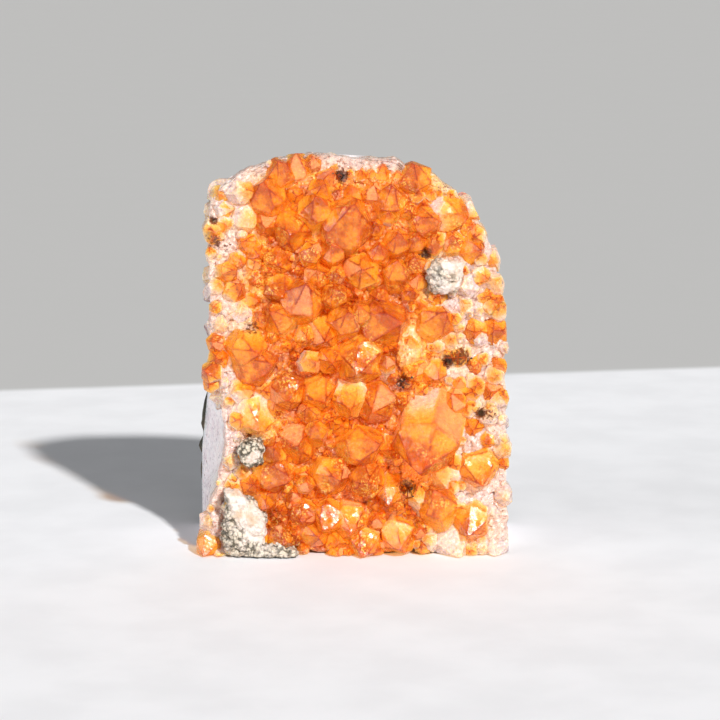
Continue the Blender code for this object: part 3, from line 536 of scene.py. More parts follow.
class Sheet:
    """A small hand for wiring a node tree."""

    def __init__(self, tree):
        self.tree = tree

    def wire(self, node, **links):
        """Links or sets a node's inputs, by name or, after an underscore, by number."""
        for key, value in links.items():
            socket = node.inputs[int(key[1:])] if key[0] == "_" else node.inputs[key.replace("_", " ")]
            if isinstance(value, bpy.types.NodeSocket):
                self.tree.links.new(value, socket)
            else:
                socket.default_value = value
        return node

    def shade(self, **links):
        """Links or sets the inputs of the material's Principled shader."""
        return self.wire(self.tree.nodes["Principled BSDF"], **links)

    def add(self, kind, settings=None, **links):
        """A node of this kind with these properties and inputs."""
        node = self.tree.nodes.new(kind)
        for key, value in (settings or {}).items():
            setattr(node, key, value)
        return self.wire(node, **links)

    def shared(self, name, **links):
        """The outputs of a placed copy of one of the shared node groups."""
        return self.add("ShaderNodeGroup", {"node_tree": LOOK[name]}, **links).outputs

    def math(self, operation, a, b=0.0, c=0.0):
        """One Math node's result."""
        return self.add("ShaderNodeMath", {"operation": operation}, _0=a, _1=b, _2=c).outputs[0]

    def plus(self, a, b):
        """The sum of two values."""
        return self.math("ADD", a, b)

    def less(self, a, b):
        """The first value less the second."""
        return self.math("SUBTRACT", a, b)

    def times(self, a, b):
        """The product of two values."""
        return self.math("MULTIPLY", a, b)

    def times_plus(self, a, b, c):
        """The product of the first two values and the third added."""
        return self.math("MULTIPLY_ADD", a, b, c)

    def vector(self, operation, a, **links):
        """One Vector Math node's result."""
        return self.add("ShaderNodeVectorMath", {"operation": operation}, _0=a, **links).outputs[0]

    def ease(self, value, low, high, start=0.0, end=1.0):
        """A value mapped smoothly from one range to another."""
        return self.add("ShaderNodeMapRange", {"interpolation_type": "SMOOTHSTEP"}, Value=value,
                        From_Min=low, From_Max=high, To_Min=start, To_Max=end).outputs[0]

    def mix(self, share, a, b, blend="MIX"):
        """Two colours mixed by a share."""
        node = self.add("ShaderNodeMix", {"data_type": "RGBA", "blend_type": blend}, _0=share, _6=a, _7=b)
        return node.outputs[2]

    def noise(self, where, scale, detail=4.0, roughness=0.55):
        """A noise value from 0 to 1."""
        return self.add("ShaderNodeTexNoise", None, Vector=where, Scale=scale, Detail=detail,
                        Roughness=roughness).outputs[0]

    def bump(self, height, strength, distance):
        """A normal raised and lowered by a height."""
        return self.add("ShaderNodeBump", None, Strength=strength, Distance=distance,
                        Height=height).outputs[0]

    def attribute(self, name):
        """A float attribute of the piece."""
        return self.add("ShaderNodeAttribute", {"attribute_name": name}).outputs["Fac"]

    def place(self):
        """The place on the object, in its own coordinates."""
        return self.add("ShaderNodeTexCoord").outputs["Object"]

    def ramp(self, value, stops):
        """A colour from a list of (place, colour)."""
        node = self.add("ShaderNodeValToRGB", None, _0=value)
        band = node.color_ramp
        while len(band.elements) < len(stops):
            band.elements.new(0.5)
        for element, (place, colour) in zip(band.elements, stops):
            element.position = place
            element.color = colour
        return node.outputs[0]


def rgb(red, green, blue):
    """A linear colour from screen values of 0 to 255."""
    values = np.array([red, green, blue]) / 255
    linear = np.where(values <= 0.04045, values / 12.92, ((values + 0.055) / 1.055) ** 2.4)
    return (*linear.tolist(), 1.0)


def new_group(name, inputs, outputs):
    """An empty shader node group with named sockets, and its input and output nodes."""
    tree = bpy.data.node_groups.new(name, "ShaderNodeTree")
    for title, kind, value in inputs:
        socket = tree.interface.new_socket(title, in_out="INPUT", socket_type=kind)
        if value is not None:
            socket.default_value = value
    for title, kind in outputs:
        tree.interface.new_socket(title, in_out="OUTPUT", socket_type=kind)
    sheet = Sheet(tree)
    return sheet, sheet.add("NodeGroupInput").outputs, sheet.add("NodeGroupOutput")


def crystal_colour_group(orange):
    """Quartz colour: white or lilac at the root, peach, orange and a dark red tip, mottled, with cracks,
    gold flecks of painted glint, faces painted pale as painted reflection, and brown stains."""
    sheet, given, out = new_group("crystal_colour", [
        ("Vector", "NodeSocketVector", None), ("Tone", "NodeSocketFloat", 0.7),
        ("From Tip", "NodeSocketFloat", 1.0), ("Stain", "NodeSocketFloat", 0.0),
        ("Veil", "NodeSocketFloat", 0.0), ("Haze", "NodeSocketFloat", 0.75),
    ], [("Color", "NodeSocketColor"), ("Ripe", "NodeSocketFloat"), ("Mottle", "NodeSocketFloat")])
    where = given["Vector"]
    cloud = sheet.noise(where, 230.0, 5.0, 0.62)
    haze = sheet.noise(where, 75.0, 3.0, 0.5)
    bend = sheet.add("ShaderNodeTexNoise", None, Vector=where, Scale=260.0, Detail=2.0).outputs["Color"]
    bent = sheet.vector("ADD", where, _1=sheet.vector("SCALE", bend, Scale=0.0028))
    soft = {"feature": "SMOOTH_F1"}
    lumps = sheet.add("ShaderNodeTexVoronoi", soft, Vector=bent, Scale=330.0, Smoothness=0.45)
    lump = sheet.add("ShaderNodeSeparateColor", None, _0=lumps.outputs["Color"]).outputs[0]
    seam = sheet.add("ShaderNodeTexVoronoi", {"feature": "DISTANCE_TO_EDGE"}, Vector=bent, Scale=330.0)
    crack = sheet.ease(seam.outputs["Distance"], 0.0, 0.09, 1.0, 0.0)

    # How ripe the quartz is: by the distance from the tip, then unevenly.
    depth = sheet.times_plus(cloud, 1.1, sheet.plus(given["From Tip"], -0.55))
    reach = sheet.times_plus(sheet.math("POWER", given["Tone"], 4.0), 3.4, 0.75)
    cap = sheet.ease(sheet.math("DIVIDE", depth, reach), 0.2, 1.4, 1.0, 0.0)
    amount = sheet.ease(given["Tone"], -0.1, 0.75, 0.0, 0.92)
    ripe = sheet.times(sheet.times_plus(cap, 0.82, 0.18), amount)
    ripe = sheet.times_plus(sheet.less(haze, 0.5), given["Haze"], ripe)
    ripe = sheet.plus(ripe, sheet.times(sheet.less(cloud, 0.5), sheet.times(ripe, 1.1)))
    ripe = sheet.plus(ripe, sheet.times(sheet.less(lump, 0.5), sheet.times(ripe, 0.22)))
    colour = sheet.ramp(ripe, [
        (0.0, rgb(224, 202, 198)), (0.14, rgb(238, 208, 186)), (0.30, rgb(249, 206, 152)),
        (0.46, rgb(252, 192, 100)), (0.64, orange), (0.84, rgb(247, 154, 28)), (1.0, rgb(204, 100, 6)),
    ])
    tip = sheet.times_plus(sheet.less(cloud, 0.5), 1.2, given["From Tip"])
    tip = sheet.times(sheet.ease(tip, 0.0, 0.55, 0.6, 0.0), sheet.ease(given["Tone"], 0.25, 0.6))
    colour = sheet.mix(tip, colour, rgb(206, 84, 16))

    # Cracks, dark speckles, frost on the pale quartz, gold flecks of painted glint, faces painted pale as
    # painted reflection, and brown stains.
    crack = sheet.times(crack, sheet.ease(haze, 0.42, 0.6, 0.0, 0.5))
    colour = sheet.mix(sheet.times(crack, sheet.ease(ripe, 0.3, 0.8)), colour, rgb(186, 92, 20))
    dark = sheet.ease(sheet.noise(where, 950.0, 3.0, 0.7), 0.52, 0.70, 0.0, 0.6)
    colour = sheet.mix(sheet.times(dark, ripe), colour, rgb(170, 72, 14))
    frost = sheet.noise(where, 1000.0, 3.0, 0.7)
    pale = sheet.ease(ripe, 0.15, 0.6, 1.0, 0.15)
    dull = sheet.times(pale, sheet.ease(frost, 0.5, 0.66, 0.0, 0.75))
    colour = sheet.mix(dull, colour, rgb(184, 152, 146))
    white = sheet.times(pale, sheet.ease(frost, 0.34, 0.46, 0.7, 0.0))
    colour = sheet.mix(white, colour, rgb(255, 246, 240))
    # Painted glints: small cells in patches are painted bright gold where light would glint inside the
    # quartz.
    glint_cell_net = sheet.add("ShaderNodeTexVoronoi", None, Vector=where, Scale=2400.0)
    patch = sheet.ease(sheet.noise(where, 150.0, 2.0, 0.5), 0.50, 0.64)
    painted_gold_glint = sheet.times(sheet.math("GREATER_THAN", glint_cell_net.outputs["Color"], 0.70), patch)
    painted_gold_glint = sheet.times(painted_gold_glint, sheet.ease(ripe, 0.3, 0.7, 0.0, 0.8))
    colour = sheet.mix(painted_gold_glint, colour, rgb(255, 214, 110))
    # Painted reflection: the marked faces are painted pale peach where they would reflect the light.
    colour = sheet.mix(given["Veil"], colour, rgb(255, 184, 128))
    stain = sheet.times_plus(sheet.noise(where, 1100.0, 2.0, 0.6), 1.8, given["Stain"])
    brown = sheet.mix(sheet.ease(given["Stain"], 0.6, 0.95), rgb(120, 62, 24), rgb(34, 28, 24))
    colour = sheet.mix(sheet.ease(stain, 1.2, 1.5), colour, brown)
    sheet.wire(out, Color=colour, Ripe=ripe, Mottle=cloud)
    return sheet.tree


def facet_group():
    """Small flat facets: each cell of a fine net turns the surface its own way where a mask allows."""
    sheet, given, out = new_group("small_facets", [
        ("Vector", "NodeSocketVector", None), ("Normal", "NodeSocketVector", None),
        ("Scale", "NodeSocketFloat", 500.0), ("Turn", "NodeSocketFloat", 0.3),
        ("Mask", "NodeSocketFloat", 1.0),
    ], [("Normal", "NodeSocketVector"), ("Cell", "NodeSocketFloat")])
    net = sheet.add("ShaderNodeTexVoronoi", None, Vector=given["Vector"], Scale=given["Scale"])
    tilt = sheet.vector("SUBTRACT", net.outputs["Color"], _1=(0.5, 0.5, 0.5))
    tilt = sheet.vector("SCALE", tilt, Scale=sheet.times(given["Turn"], given["Mask"]))
    turned = sheet.vector("NORMALIZE", sheet.vector("ADD", given["Normal"], _1=tilt))
    cell = sheet.add("ShaderNodeSeparateColor", None, _0=net.outputs["Color"]).outputs[0]
    sheet.wire(out, Normal=turned, Cell=cell)
    return sheet.tree


def new_material(name):
    """A material and its sheet."""
    material = bpy.data.materials.new(name)
    material.use_nodes = True
    return material, Sheet(material.node_tree)


def lit_through(sheet, tint):
    """Lets a share of the lamps' light through the shader, so that what it covers isn't black."""
    path = sheet.add("ShaderNodeLightPath").outputs["Is Shadow Ray"]
    clear = sheet.add("ShaderNodeBsdfTransparent", None, Color=tint).outputs[0]
    both = sheet.add("ShaderNodeMixShader", None, _0=path, _1=sheet.shade().outputs[0], _2=clear)
    sheet.wire(sheet.tree.nodes["Material Output"], Surface=both.outputs[0])


def crystal_material(name, clear):
    """Citrine: see-through orange quartz over milky roots, with growth lines, small facets, painted shade
    along the edges near the tips and a painted highlight along the edges of pale quartz."""
    material, sheet = new_material(name)
    where = sheet.place()
    from_tip, ridge = sheet.attribute("from_tip"), sheet.attribute("ridge")
    given = sheet.shared("colour", Vector=where, Tone=sheet.attribute("tone"), From_Tip=from_tip,
                         Stain=sheet.attribute("stain"), Veil=sheet.attribute("veil"))
    ripe = given["Ripe"]
    fine = sheet.noise(where, 700.0, 3.0, 0.6)
    wander = sheet.times(sheet.noise(where, 240.0, 2.0, 0.5), 9.0)
    growth = sheet.math("SINE", sheet.plus(sheet.times(from_tip, 30.0), wander))
    height = sheet.plus(sheet.times(growth, 0.04), sheet.times(fine, 0.8))
    height = sheet.plus(height, sheet.times(given["Mottle"], 1.2))
    mask = sheet.ease(sheet.noise(where, 160.0, 2.0, 0.5), 0.44, 0.62)
    facets = sheet.shared("facets", Vector=where, Normal=sheet.bump(height, 0.4, 0.0004), Scale=850.0,
                          Turn=0.55, Mask=mask)

    # Painted shade and highlight on the edges: a wide deep orange and a thin broken dark line of painted
    # shade and, on pale quartz, a light line of painted highlight.
    tipped = sheet.ease(from_tip, 0.1, 1.6, 1.0, 0.25)
    painted_edge_shade = sheet.times(sheet.ease(ridge, 0.0, 0.7), sheet.ease(ripe, 0.3, 0.9))
    painted_edge_shade = sheet.times(sheet.times(painted_edge_shade, tipped), 0.5)
    colour = sheet.mix(painted_edge_shade, given["Color"], rgb(216, 92, 16))
    edge = sheet.ease(ridge, 0.25, 0.95)
    broken = sheet.ease(sheet.noise(where, 220.0, 3.0, 0.6), 0.38, 0.54)
    painted_rim_shade = sheet.times(sheet.times(edge, broken), sheet.ease(ripe, 0.35, 0.9, 0.0, 0.9))
    colour = sheet.mix(sheet.times(painted_rim_shade, tipped), colour, rgb(150, 48, 14))
    painted_edge_highlight = sheet.times(edge, sheet.ease(ripe, 0.2, 0.7, 0.35, 0.0))
    colour = sheet.mix(painted_edge_highlight, colour, rgb(255, 232, 200))
    bright = sheet.math("GREATER_THAN", facets["Cell"], 0.9)
    rough = sheet.times_plus(bright, -0.14, sheet.ease(fine, 0.35, 0.75, 0.20, 0.40))
    sheet.shade(Base_Color=colour, Normal=facets["Normal"], Roughness=rough, IOR=QUARTZ_IOR,
                Transmission_Weight=clear, Subsurface_Weight=0.85, Subsurface_Radius=(1.0, 0.8, 0.4),
                Subsurface_Scale=0.0012)
    lit_through(sheet, (0.72, 0.56, 0.34, 1))
    absorb = sheet.add("ShaderNodeVolumeAbsorption", None, Color=(1.0, 0.78, 0.36, 1), Density=26.0)
    sheet.wire(sheet.tree.nodes["Material Output"], Volume=absorb.outputs[0])
    return material


def sugar_material():
    """Grainy quartz: sparkling pale grains, pinkish white at the borders and orange in the middle."""
    material, sheet = new_material("grainy_quartz")
    where = sheet.place()
    given = sheet.shared("colour", Vector=where, Tone=sheet.attribute("tone"), From_Tip=0.6,
                         Stain=sheet.attribute("stain"), Veil=0.0, Haze=0.45)
    grain = sheet.noise(where, 900.0, 4.0, 0.7)
    facets = sheet.shared("facets", Vector=where, Normal=sheet.bump(grain, 0.6, 0.0004), Scale=1500.0,
                          Turn=0.8, Mask=1.0)
    colour = sheet.mix(sheet.ease(grain, 0.35, 0.7, 0.0, 0.35), given["Color"], rgb(206, 176, 166))
    broad = sheet.ease(sheet.noise(where, 170.0, 3.0, 0.6), 0.4, 0.65, 0.0, 0.45)
    colour = sheet.mix(broad, colour, rgb(234, 214, 210), "MULTIPLY")
    sheet.shade(Base_Color=colour, Normal=facets["Normal"], IOR=QUARTZ_IOR,
                Roughness=sheet.ease(facets["Cell"], 0.1, 0.9, 0.12, 0.5), Subsurface_Weight=0.75,
                Subsurface_Radius=(1.0, 0.75, 0.6), Subsurface_Scale=0.0022)
    return material


def bed_material(white):
    """The sawn quartz slab: cloudy white and lilac, banded blue-grey and cream towards the rind."""
    material, sheet = new_material("sawn_quartz")
    where = sheet.place()
    place = sheet.add("ShaderNodeSeparateXYZ", None, _0=where).outputs
    cloud = sheet.noise(where, 120.0, 6.0, 0.6)
    layer = sheet.times_plus(place["Z"], 0.12, place["Y"])
    layer = sheet.plus(layer, sheet.times(sheet.less(cloud, 0.5), 0.009))
    colour = sheet.ramp(sheet.ease(layer, -0.014, 0.022), [
        (0.0, rgb(248, 226, 210)), (0.25, white), (0.60, rgb(244, 232, 236)),
        (0.90, rgb(244, 234, 238)), (0.96, rgb(206, 210, 214)), (0.98, rgb(206, 200, 186)),
        (1.0, rgb(150, 142, 128)),
    ])
    frost = sheet.noise(where, 800.0, 3.0, 0.7)
    colour = sheet.mix(sheet.ease(frost, 0.45, 0.65, 0.0, 0.7), colour, rgb(252, 247, 246))
    dusk = sheet.ease(sheet.noise(where, 230.0, 4.0, 0.7), 0.48, 0.64, 0.0, 0.5)
    colour = sheet.mix(dusk, colour, rgb(206, 184, 196))
    speck = sheet.ease(sheet.noise(where, 300.0, 3.0, 0.7), 0.64, 0.70, 0.0, 0.8)
    colour = sheet.mix(speck, colour, rgb(132, 66, 62))
    bump = sheet.bump(sheet.plus(cloud, sheet.times(frost, 0.8)), 0.6, 0.0005)
    facets = sheet.shared("facets", Vector=where, Normal=bump, Scale=900.0, Turn=0.5,
                          Mask=sheet.ease(cloud, 0.4, 0.6))
    sheet.shade(Base_Color=colour, Normal=facets["Normal"],
                Roughness=sheet.ease(frost, 0.3, 0.7, 0.22, 0.5), Subsurface_Weight=0.5,
                Subsurface_Radius=(1.0, 0.8, 0.75), Subsurface_Scale=0.003)
    return material


def rind_material(dark):
    """Dark vesicular rock: near black, green-brown and rusty brown, darkened to near black in its pits, with
    pale dust.
    """
    material, sheet = new_material("rock_rind")
    where = sheet.place()
    broad = sheet.noise(where, 60.0, 6.0, 0.6)
    fine = sheet.noise(where, 500.0, 6.0, 0.7)
    colour = sheet.ramp(broad, [
        (0.30, dark), (0.48, rgb(66, 64, 54)), (0.62, rgb(92, 76, 58)), (0.78, rgb(70, 66, 58)),
    ])
    colour = sheet.mix(sheet.ease(fine, 0.52, 0.72, 0.0, 0.6), colour, rgb(128, 118, 100))
    pores = sheet.add("ShaderNodeTexVoronoi", None, Vector=where, Scale=330.0).outputs["Distance"]
    pores = sheet.times_plus(broad, 0.8, sheet.less(pores, 0.85))
    pit = sheet.ease(sheet.times_plus(fine, 0.9, pores), 0.02, 0.30)
    # The colour darkens to near black in the pits, where the bump sinks.
    colour = sheet.mix(sheet.times(sheet.less(1.0, pit), 0.6), colour, rgb(24, 22, 20))
    height = sheet.plus(sheet.times(fine, 0.8), sheet.times(pit, 0.5))
    sheet.shade(Base_Color=colour, Normal=sheet.bump(height, 1.0, 0.0012),
                Roughness=sheet.ease(fine, 0.3, 0.7, 0.7, 0.95))
    return material


def calcite_material(cream):
    """Calcite: smooth cream patches and grey-olive grainy ones with dark specks."""
    material, sheet = new_material("calcite_grains")
    where = sheet.place()
    grey = sheet.attribute("grey")
    fine = sheet.noise(where, 900.0, 4.0, 0.7)
    grains = sheet.add("ShaderNodeTexVoronoi", None, Vector=where, Scale=800.0).outputs["Distance"]
    mask = sheet.ease(sheet.times_plus(sheet.noise(where, 300.0, 4.0, 0.65), 1.6, grey), 1.15, 1.8)
    rust = sheet.ease(sheet.noise(where, 260.0, 3.0, 0.6), 0.45, 0.7)
    smooth_part = sheet.mix(rust, cream, rgb(208, 180, 154))
    gaps = sheet.ease(sheet.times_plus(fine, 0.7, grains), 0.7, 1.05)
    grainy_part = sheet.mix(gaps, rgb(216, 203, 184), rgb(92, 84, 68))
    colour = sheet.mix(mask, smooth_part, grainy_part)
    dark = sheet.ease(sheet.noise(where, 380.0, 4.0, 0.8), 0.56, 0.62, 0.0, 0.95)
    colour = sheet.mix(sheet.times(dark, grey), colour, rgb(66, 60, 52))
    bump = sheet.bump(sheet.plus(sheet.times(grains, -0.9), fine), 0.7, 0.0005)
    facets = sheet.shared("facets", Vector=where, Normal=bump, Scale=1700.0, Turn=0.5, Mask=1.0)
    sheet.shade(Base_Color=colour, Normal=facets["Normal"],
                Roughness=sheet.ease(fine, 0.3, 0.7, 0.3, 0.65), Subsurface_Weight=0.25,
                Subsurface_Radius=(1.0, 0.8, 0.6), Subsurface_Scale=0.001)
    return material


def speck_material():
    """Black mineral grains, a little shiny."""
    material, sheet = new_material("dark_grains")
    fine = sheet.noise(sheet.place(), 1500.0, 3.0, 0.6)
    colour = sheet.ramp(fine, [(0.35, rgb(22, 20, 20)), (0.6, rgb(52, 40, 32)), (0.75, rgb(110, 84, 60))])
    sheet.shade(Base_Color=colour, Roughness=sheet.ease(fine, 0.3, 0.7, 0.25, 0.6))
    return material


def floor_material(pale):
    """A pale matte floor, one tone in front of the far line and a greyer one behind it."""
    material, sheet = new_material("studio_floor")
    where = sheet.place()
    place = sheet.add("ShaderNodeSeparateXYZ", None, _0=where).outputs
    far = sheet.less(place["Y"], sheet.times_plus(place["X"], 0.165, 0.231))
    dust = sheet.noise(where, 40.0, 4.0, 0.5)
    near = sheet.mix(sheet.ease(dust, 0.3, 0.7), rgb(232, 233, 237), pale)
    colour = sheet.mix(sheet.ease(far, -0.004, 0.006), near, rgb(190, 190, 190))
    sheet.shade(Base_Color=colour, Roughness=sheet.ease(dust, 0.3, 0.7, 0.8, 0.9), Specular_IOR_Level=0.1)
    return material


LOOK = {}


def look():
    """The shared node groups and the materials, made once, in the settings' colours."""
    if not LOOK:
        chosen = bpy.context.scene.citrine
        LOOK["colour"] = crystal_colour_group(tuple(chosen.crystal_orange))
        LOOK["facets"] = facet_group()
        LOOK["citrine"] = crystal_material("citrine", 0.28)
        LOOK["milky"] = crystal_material("milky_citrine", 0.12)
        LOOK["small"] = crystal_material("small_citrine", 0.15)
        LOOK["sugar"] = sugar_material()
        LOOK["bed"] = bed_material(tuple(chosen.quartz_white))
        LOOK["rind"] = rind_material(tuple(chosen.rock_dark))
        LOOK["calcite"] = calcite_material(tuple(chosen.calcite_cream))
        LOOK["speck"] = speck_material()
        LOOK["floor"] = floor_material(tuple(chosen.floor_pale))
    return LOOK


class CitrineSettings(bpy.types.PropertyGroup):
    """What a user would change."""

    fill_pitch: bpy.props.FloatProperty(
        name="Small point spacing", description="Distance between small points", default=0.0027,
        unit="LENGTH")
    grain_size: bpy.props.FloatProperty(
        name="Grain size", description="Width of the grains of quartz", default=0.0011, unit="LENGTH")
    sun_strength: bpy.props.FloatProperty(
        name="Sun strength", description="Strength of the main light", default=4.0)
    side_light: bpy.props.FloatProperty(
        name="Side light", description="Strength of the soft light from the left", default=1.8)
    wall_tone: bpy.props.FloatProperty(
        name="Backdrop tone", description="Brightness of the plain backdrop", default=0.485)
    fill_light: bpy.props.FloatProperty(
        name="Fill light", description="Brightness of the light from all round", default=0.21)
    crystal_orange: bpy.props.FloatVectorProperty(
        name="Crystal orange", description="Colour of ripe citrine", default=rgb(253, 178, 56),
        subtype="COLOR", size=4, min=0, max=1)
    quartz_white: bpy.props.FloatVectorProperty(
        name="Quartz white", description="Colour of the sawn slab", default=rgb(246, 234, 234),
        subtype="COLOR", size=4, min=0, max=1)
    calcite_cream: bpy.props.FloatVectorProperty(
        name="Calcite cream", description="Colour of the smooth calcite", default=rgb(232, 218, 208),
        subtype="COLOR", size=4, min=0, max=1)
    rock_dark: bpy.props.FloatVectorProperty(
        name="Rock dark", description="Darkest colour of the rind", default=rgb(44, 43, 38),
        subtype="COLOR", size=4, min=0, max=1)
    floor_pale: bpy.props.FloatVectorProperty(
        name="Floor pale", description="Colour of the floor in front", default=rgb(238, 239, 243),
        subtype="COLOR", size=4, min=0, max=1)


def grow(name, roots, tips, radii, deeper, twists, tones, seed, material, rows, columns, solids=()):
    """A piece of quartz points from their roots to their tips, set deeper than their roots by this."""
    lengths = np.linalg.norm(tips - roots, axis=1)
    axes = (tips - roots) / lengths[:, None]
    verts, faces, values = quartz_points(tips, axes, radii, lengths + deeper, twists, tones, seed,
                                         rows, columns)
    piece = mesh_object(name, verts, faces, values, smooth_shaded=True, crease=CREASE)
    put_on_stage(piece, material, solids)


def points_piece(name, chosen, material, seed):
    """One piece that holds the chosen rows of the table, a little wider than there, because the cut
    corners take some of their width away."""
    tip_x, tip_z, root_x, root_z, radii, out, tones, twists = POINTS[chosen].T
    radii = radii * WIDER
    tones = tones + 0.35 * orange_zone(tip_x, tip_z) * (1 - tones)
    grow(name, placed(root_x, root_z, 0), placed(tip_x, tip_z, out), radii, radii + 1.0, twists, tones,
         seed, material, rows=26, columns=42, solids=["citrine_crystals"])


class CITRINE_OT_orange_points(bpy.types.Operator):
    """Makes the orange quartz points of the middle"""

    bl_idname = "citrine.orange_points"
    bl_label = "Orange points"

    def execute(self, context):
        points_piece("orange_points", POINTS[:, 6] >= ORANGE_FROM, look()["citrine"], seed=11)
        return {"FINISHED"}


class CITRINE_OT_pale_points(bpy.types.Operator):
    """Makes the pale points with orange caps of the borders"""

    bl_idname = "citrine.pale_points"
    bl_label = "Pale points"

    def execute(self, context):
        points_piece("pale_points", POINTS[:, 6] < ORANGE_FROM, look()["milky"], seed=47)
        return {"FINISHED"}


def surface_hits(x, z):
    """Where sight lines at these places of the picture meet the solid of points, in millimetres, and
    which of the lines meet it."""
    bm = bmesh.new()
    bm.from_mesh(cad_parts["citrine_crystals"].data)
    bmesh.ops.transform(bm, matrix=Matrix.Scale(1 / MM, 4), verts=bm.verts)
    tree = BVHTree.FromBMesh(bm)
    bm.free()
    near, far = placed(x, z, 24.0), placed(x, z, 0.0)
    ways = (far - near) / np.linalg.norm(far - near, axis=1, keepdims=True)
    hits = [tree.ray_cast(Vector(start), Vector(way))[0] for start, way in zip(near.tolist(), ways.tolist())]
    met = np.array([hit is not None for hit in hits])
    return np.array([hit for hit in hits if hit is not None]), met


def jittered(pitch, seed):
    """A jittered grid of places over the front, as arrays of x, z and two random numbers."""
    columns, rows = int(88 / pitch), int(112 / pitch)
    column, row = np.meshgrid(np.arange(columns), np.arange(rows))
    column, row = column.ravel(), row.ravel()
    x = -44 + (column + 0.5 * (row % 2) + 0.9 * hashed(column, row, seed)) * pitch
    z = 1.0 + (row + 0.9 * hashed(row, column, seed + 1)) * pitch
    return x, z, hashed(column, row, seed + 2), hashed(column, row, seed + 3)


def bare(x, z, margin):
    """Which places lie inside the druse's edge by this margin, above its ragged foot and off the swells
    of grainy quartz."""
    height = placed(x, z, FLOOR)[:, 2]
    left, right = druse_sides(height)
    within = (x > left + margin) & (x < right - margin) & (height < DRUSE_TOP)
    foot = 2.8 + 1.8 * noise_at(x, 0, 0, 6.0)
    return within & (z > foot) & (blot(x, z, SWELLS) < SWELL_EDGE)


def room(x, z):
    """How far each place lies outside the nearest point of the table or crust, as seen from the front."""
    away = np.full(x.shape, 99.0)
    for tip_x, tip_z, root_x, root_z, radius, *_ in POINTS:
        away = np.minimum(away, from_line(x, z, (root_x, root_z), (tip_x, tip_z)) - 0.75 * radius)
    for node, lumps in CRUSTS.values():
        for *_, outline in lumps:
            middle = np.mean(outline, axis=0)
            away = np.minimum(away, np.hypot(x - middle[0], z - middle[1]) - 3.2)
    return away


class CITRINE_OT_middling_points(bpy.types.Operator):
    """Fills the room between the large points with middling ones"""

    bl_idname = "citrine.middling_points"
    bl_label = "Middling points"

    def execute(self, context):
        x, z, first, second = jittered(pitch=3.3, seed=77)
        zone = orange_zone(x, z)
        size = 1.6 + 1.5 * second**1.5 + 0.8 * (1 - zone) * second
        keep = (room(x, z) > 0.12 * size) & bare(x, z, 0.7)
        x, z, first, zone, size = (v[keep] for v in (x, z, first, zone, size))
        number = np.arange(len(x))
        tips = placed(x + (hashed(number, 1) - 0.5) * 5, z + (hashed(number, 2) - 0.35) * 5,
                      5.6 + 0.9 * size + 0.8 * first)
        tones = 0.38 + 0.52 * zone + 0.4 * (hashed(number, 3) - 0.5)
        grow("middling_points", placed(x, z, 0), tips, size, 0.5, 60 * hashed(number, 4), tones,
             seed=91, material=look()["milky"], rows=16, columns=24, solids=["citrine_crystals"])
        return {"FINISHED"}


class CITRINE_OT_small_points(bpy.types.Operator):
    """Grows small points in the gaps between the large ones"""

    bl_idname = "citrine.small_points"
    bl_label = "Small points"

    def execute(self, context):
        x, z, first, second = jittered(context.scene.citrine.fill_pitch / MM, seed=31)
        zone = orange_zone(x, z)
        size = 0.9 + 1.0 * second**1.3
        keep = (room(x, z) > -0.1 * size) & bare(x, z, 0.8) & (first < 0.5 + 0.35 * zone)
        x, z, zone, size = (v[keep] for v in (x, z, zone, size))
        number = np.arange(len(x))
        tips = placed(x + (hashed(number, 5) - 0.5) * 2.6, z + (hashed(number, 6) - 0.4) * 2.6,
                      5.2 + 0.9 * size + 0.6 * hashed(number, 7))
        tones = 0.20 + 0.68 * zone + 0.4 * (hashed(number, 8) - 0.5)
        grow("small_points", placed(x, z, 2.5), tips, size, 0, 60 * hashed(number, 9), tones,
             seed=5, material=look()["small"], rows=11, columns=18)
        return {"FINISHED"}


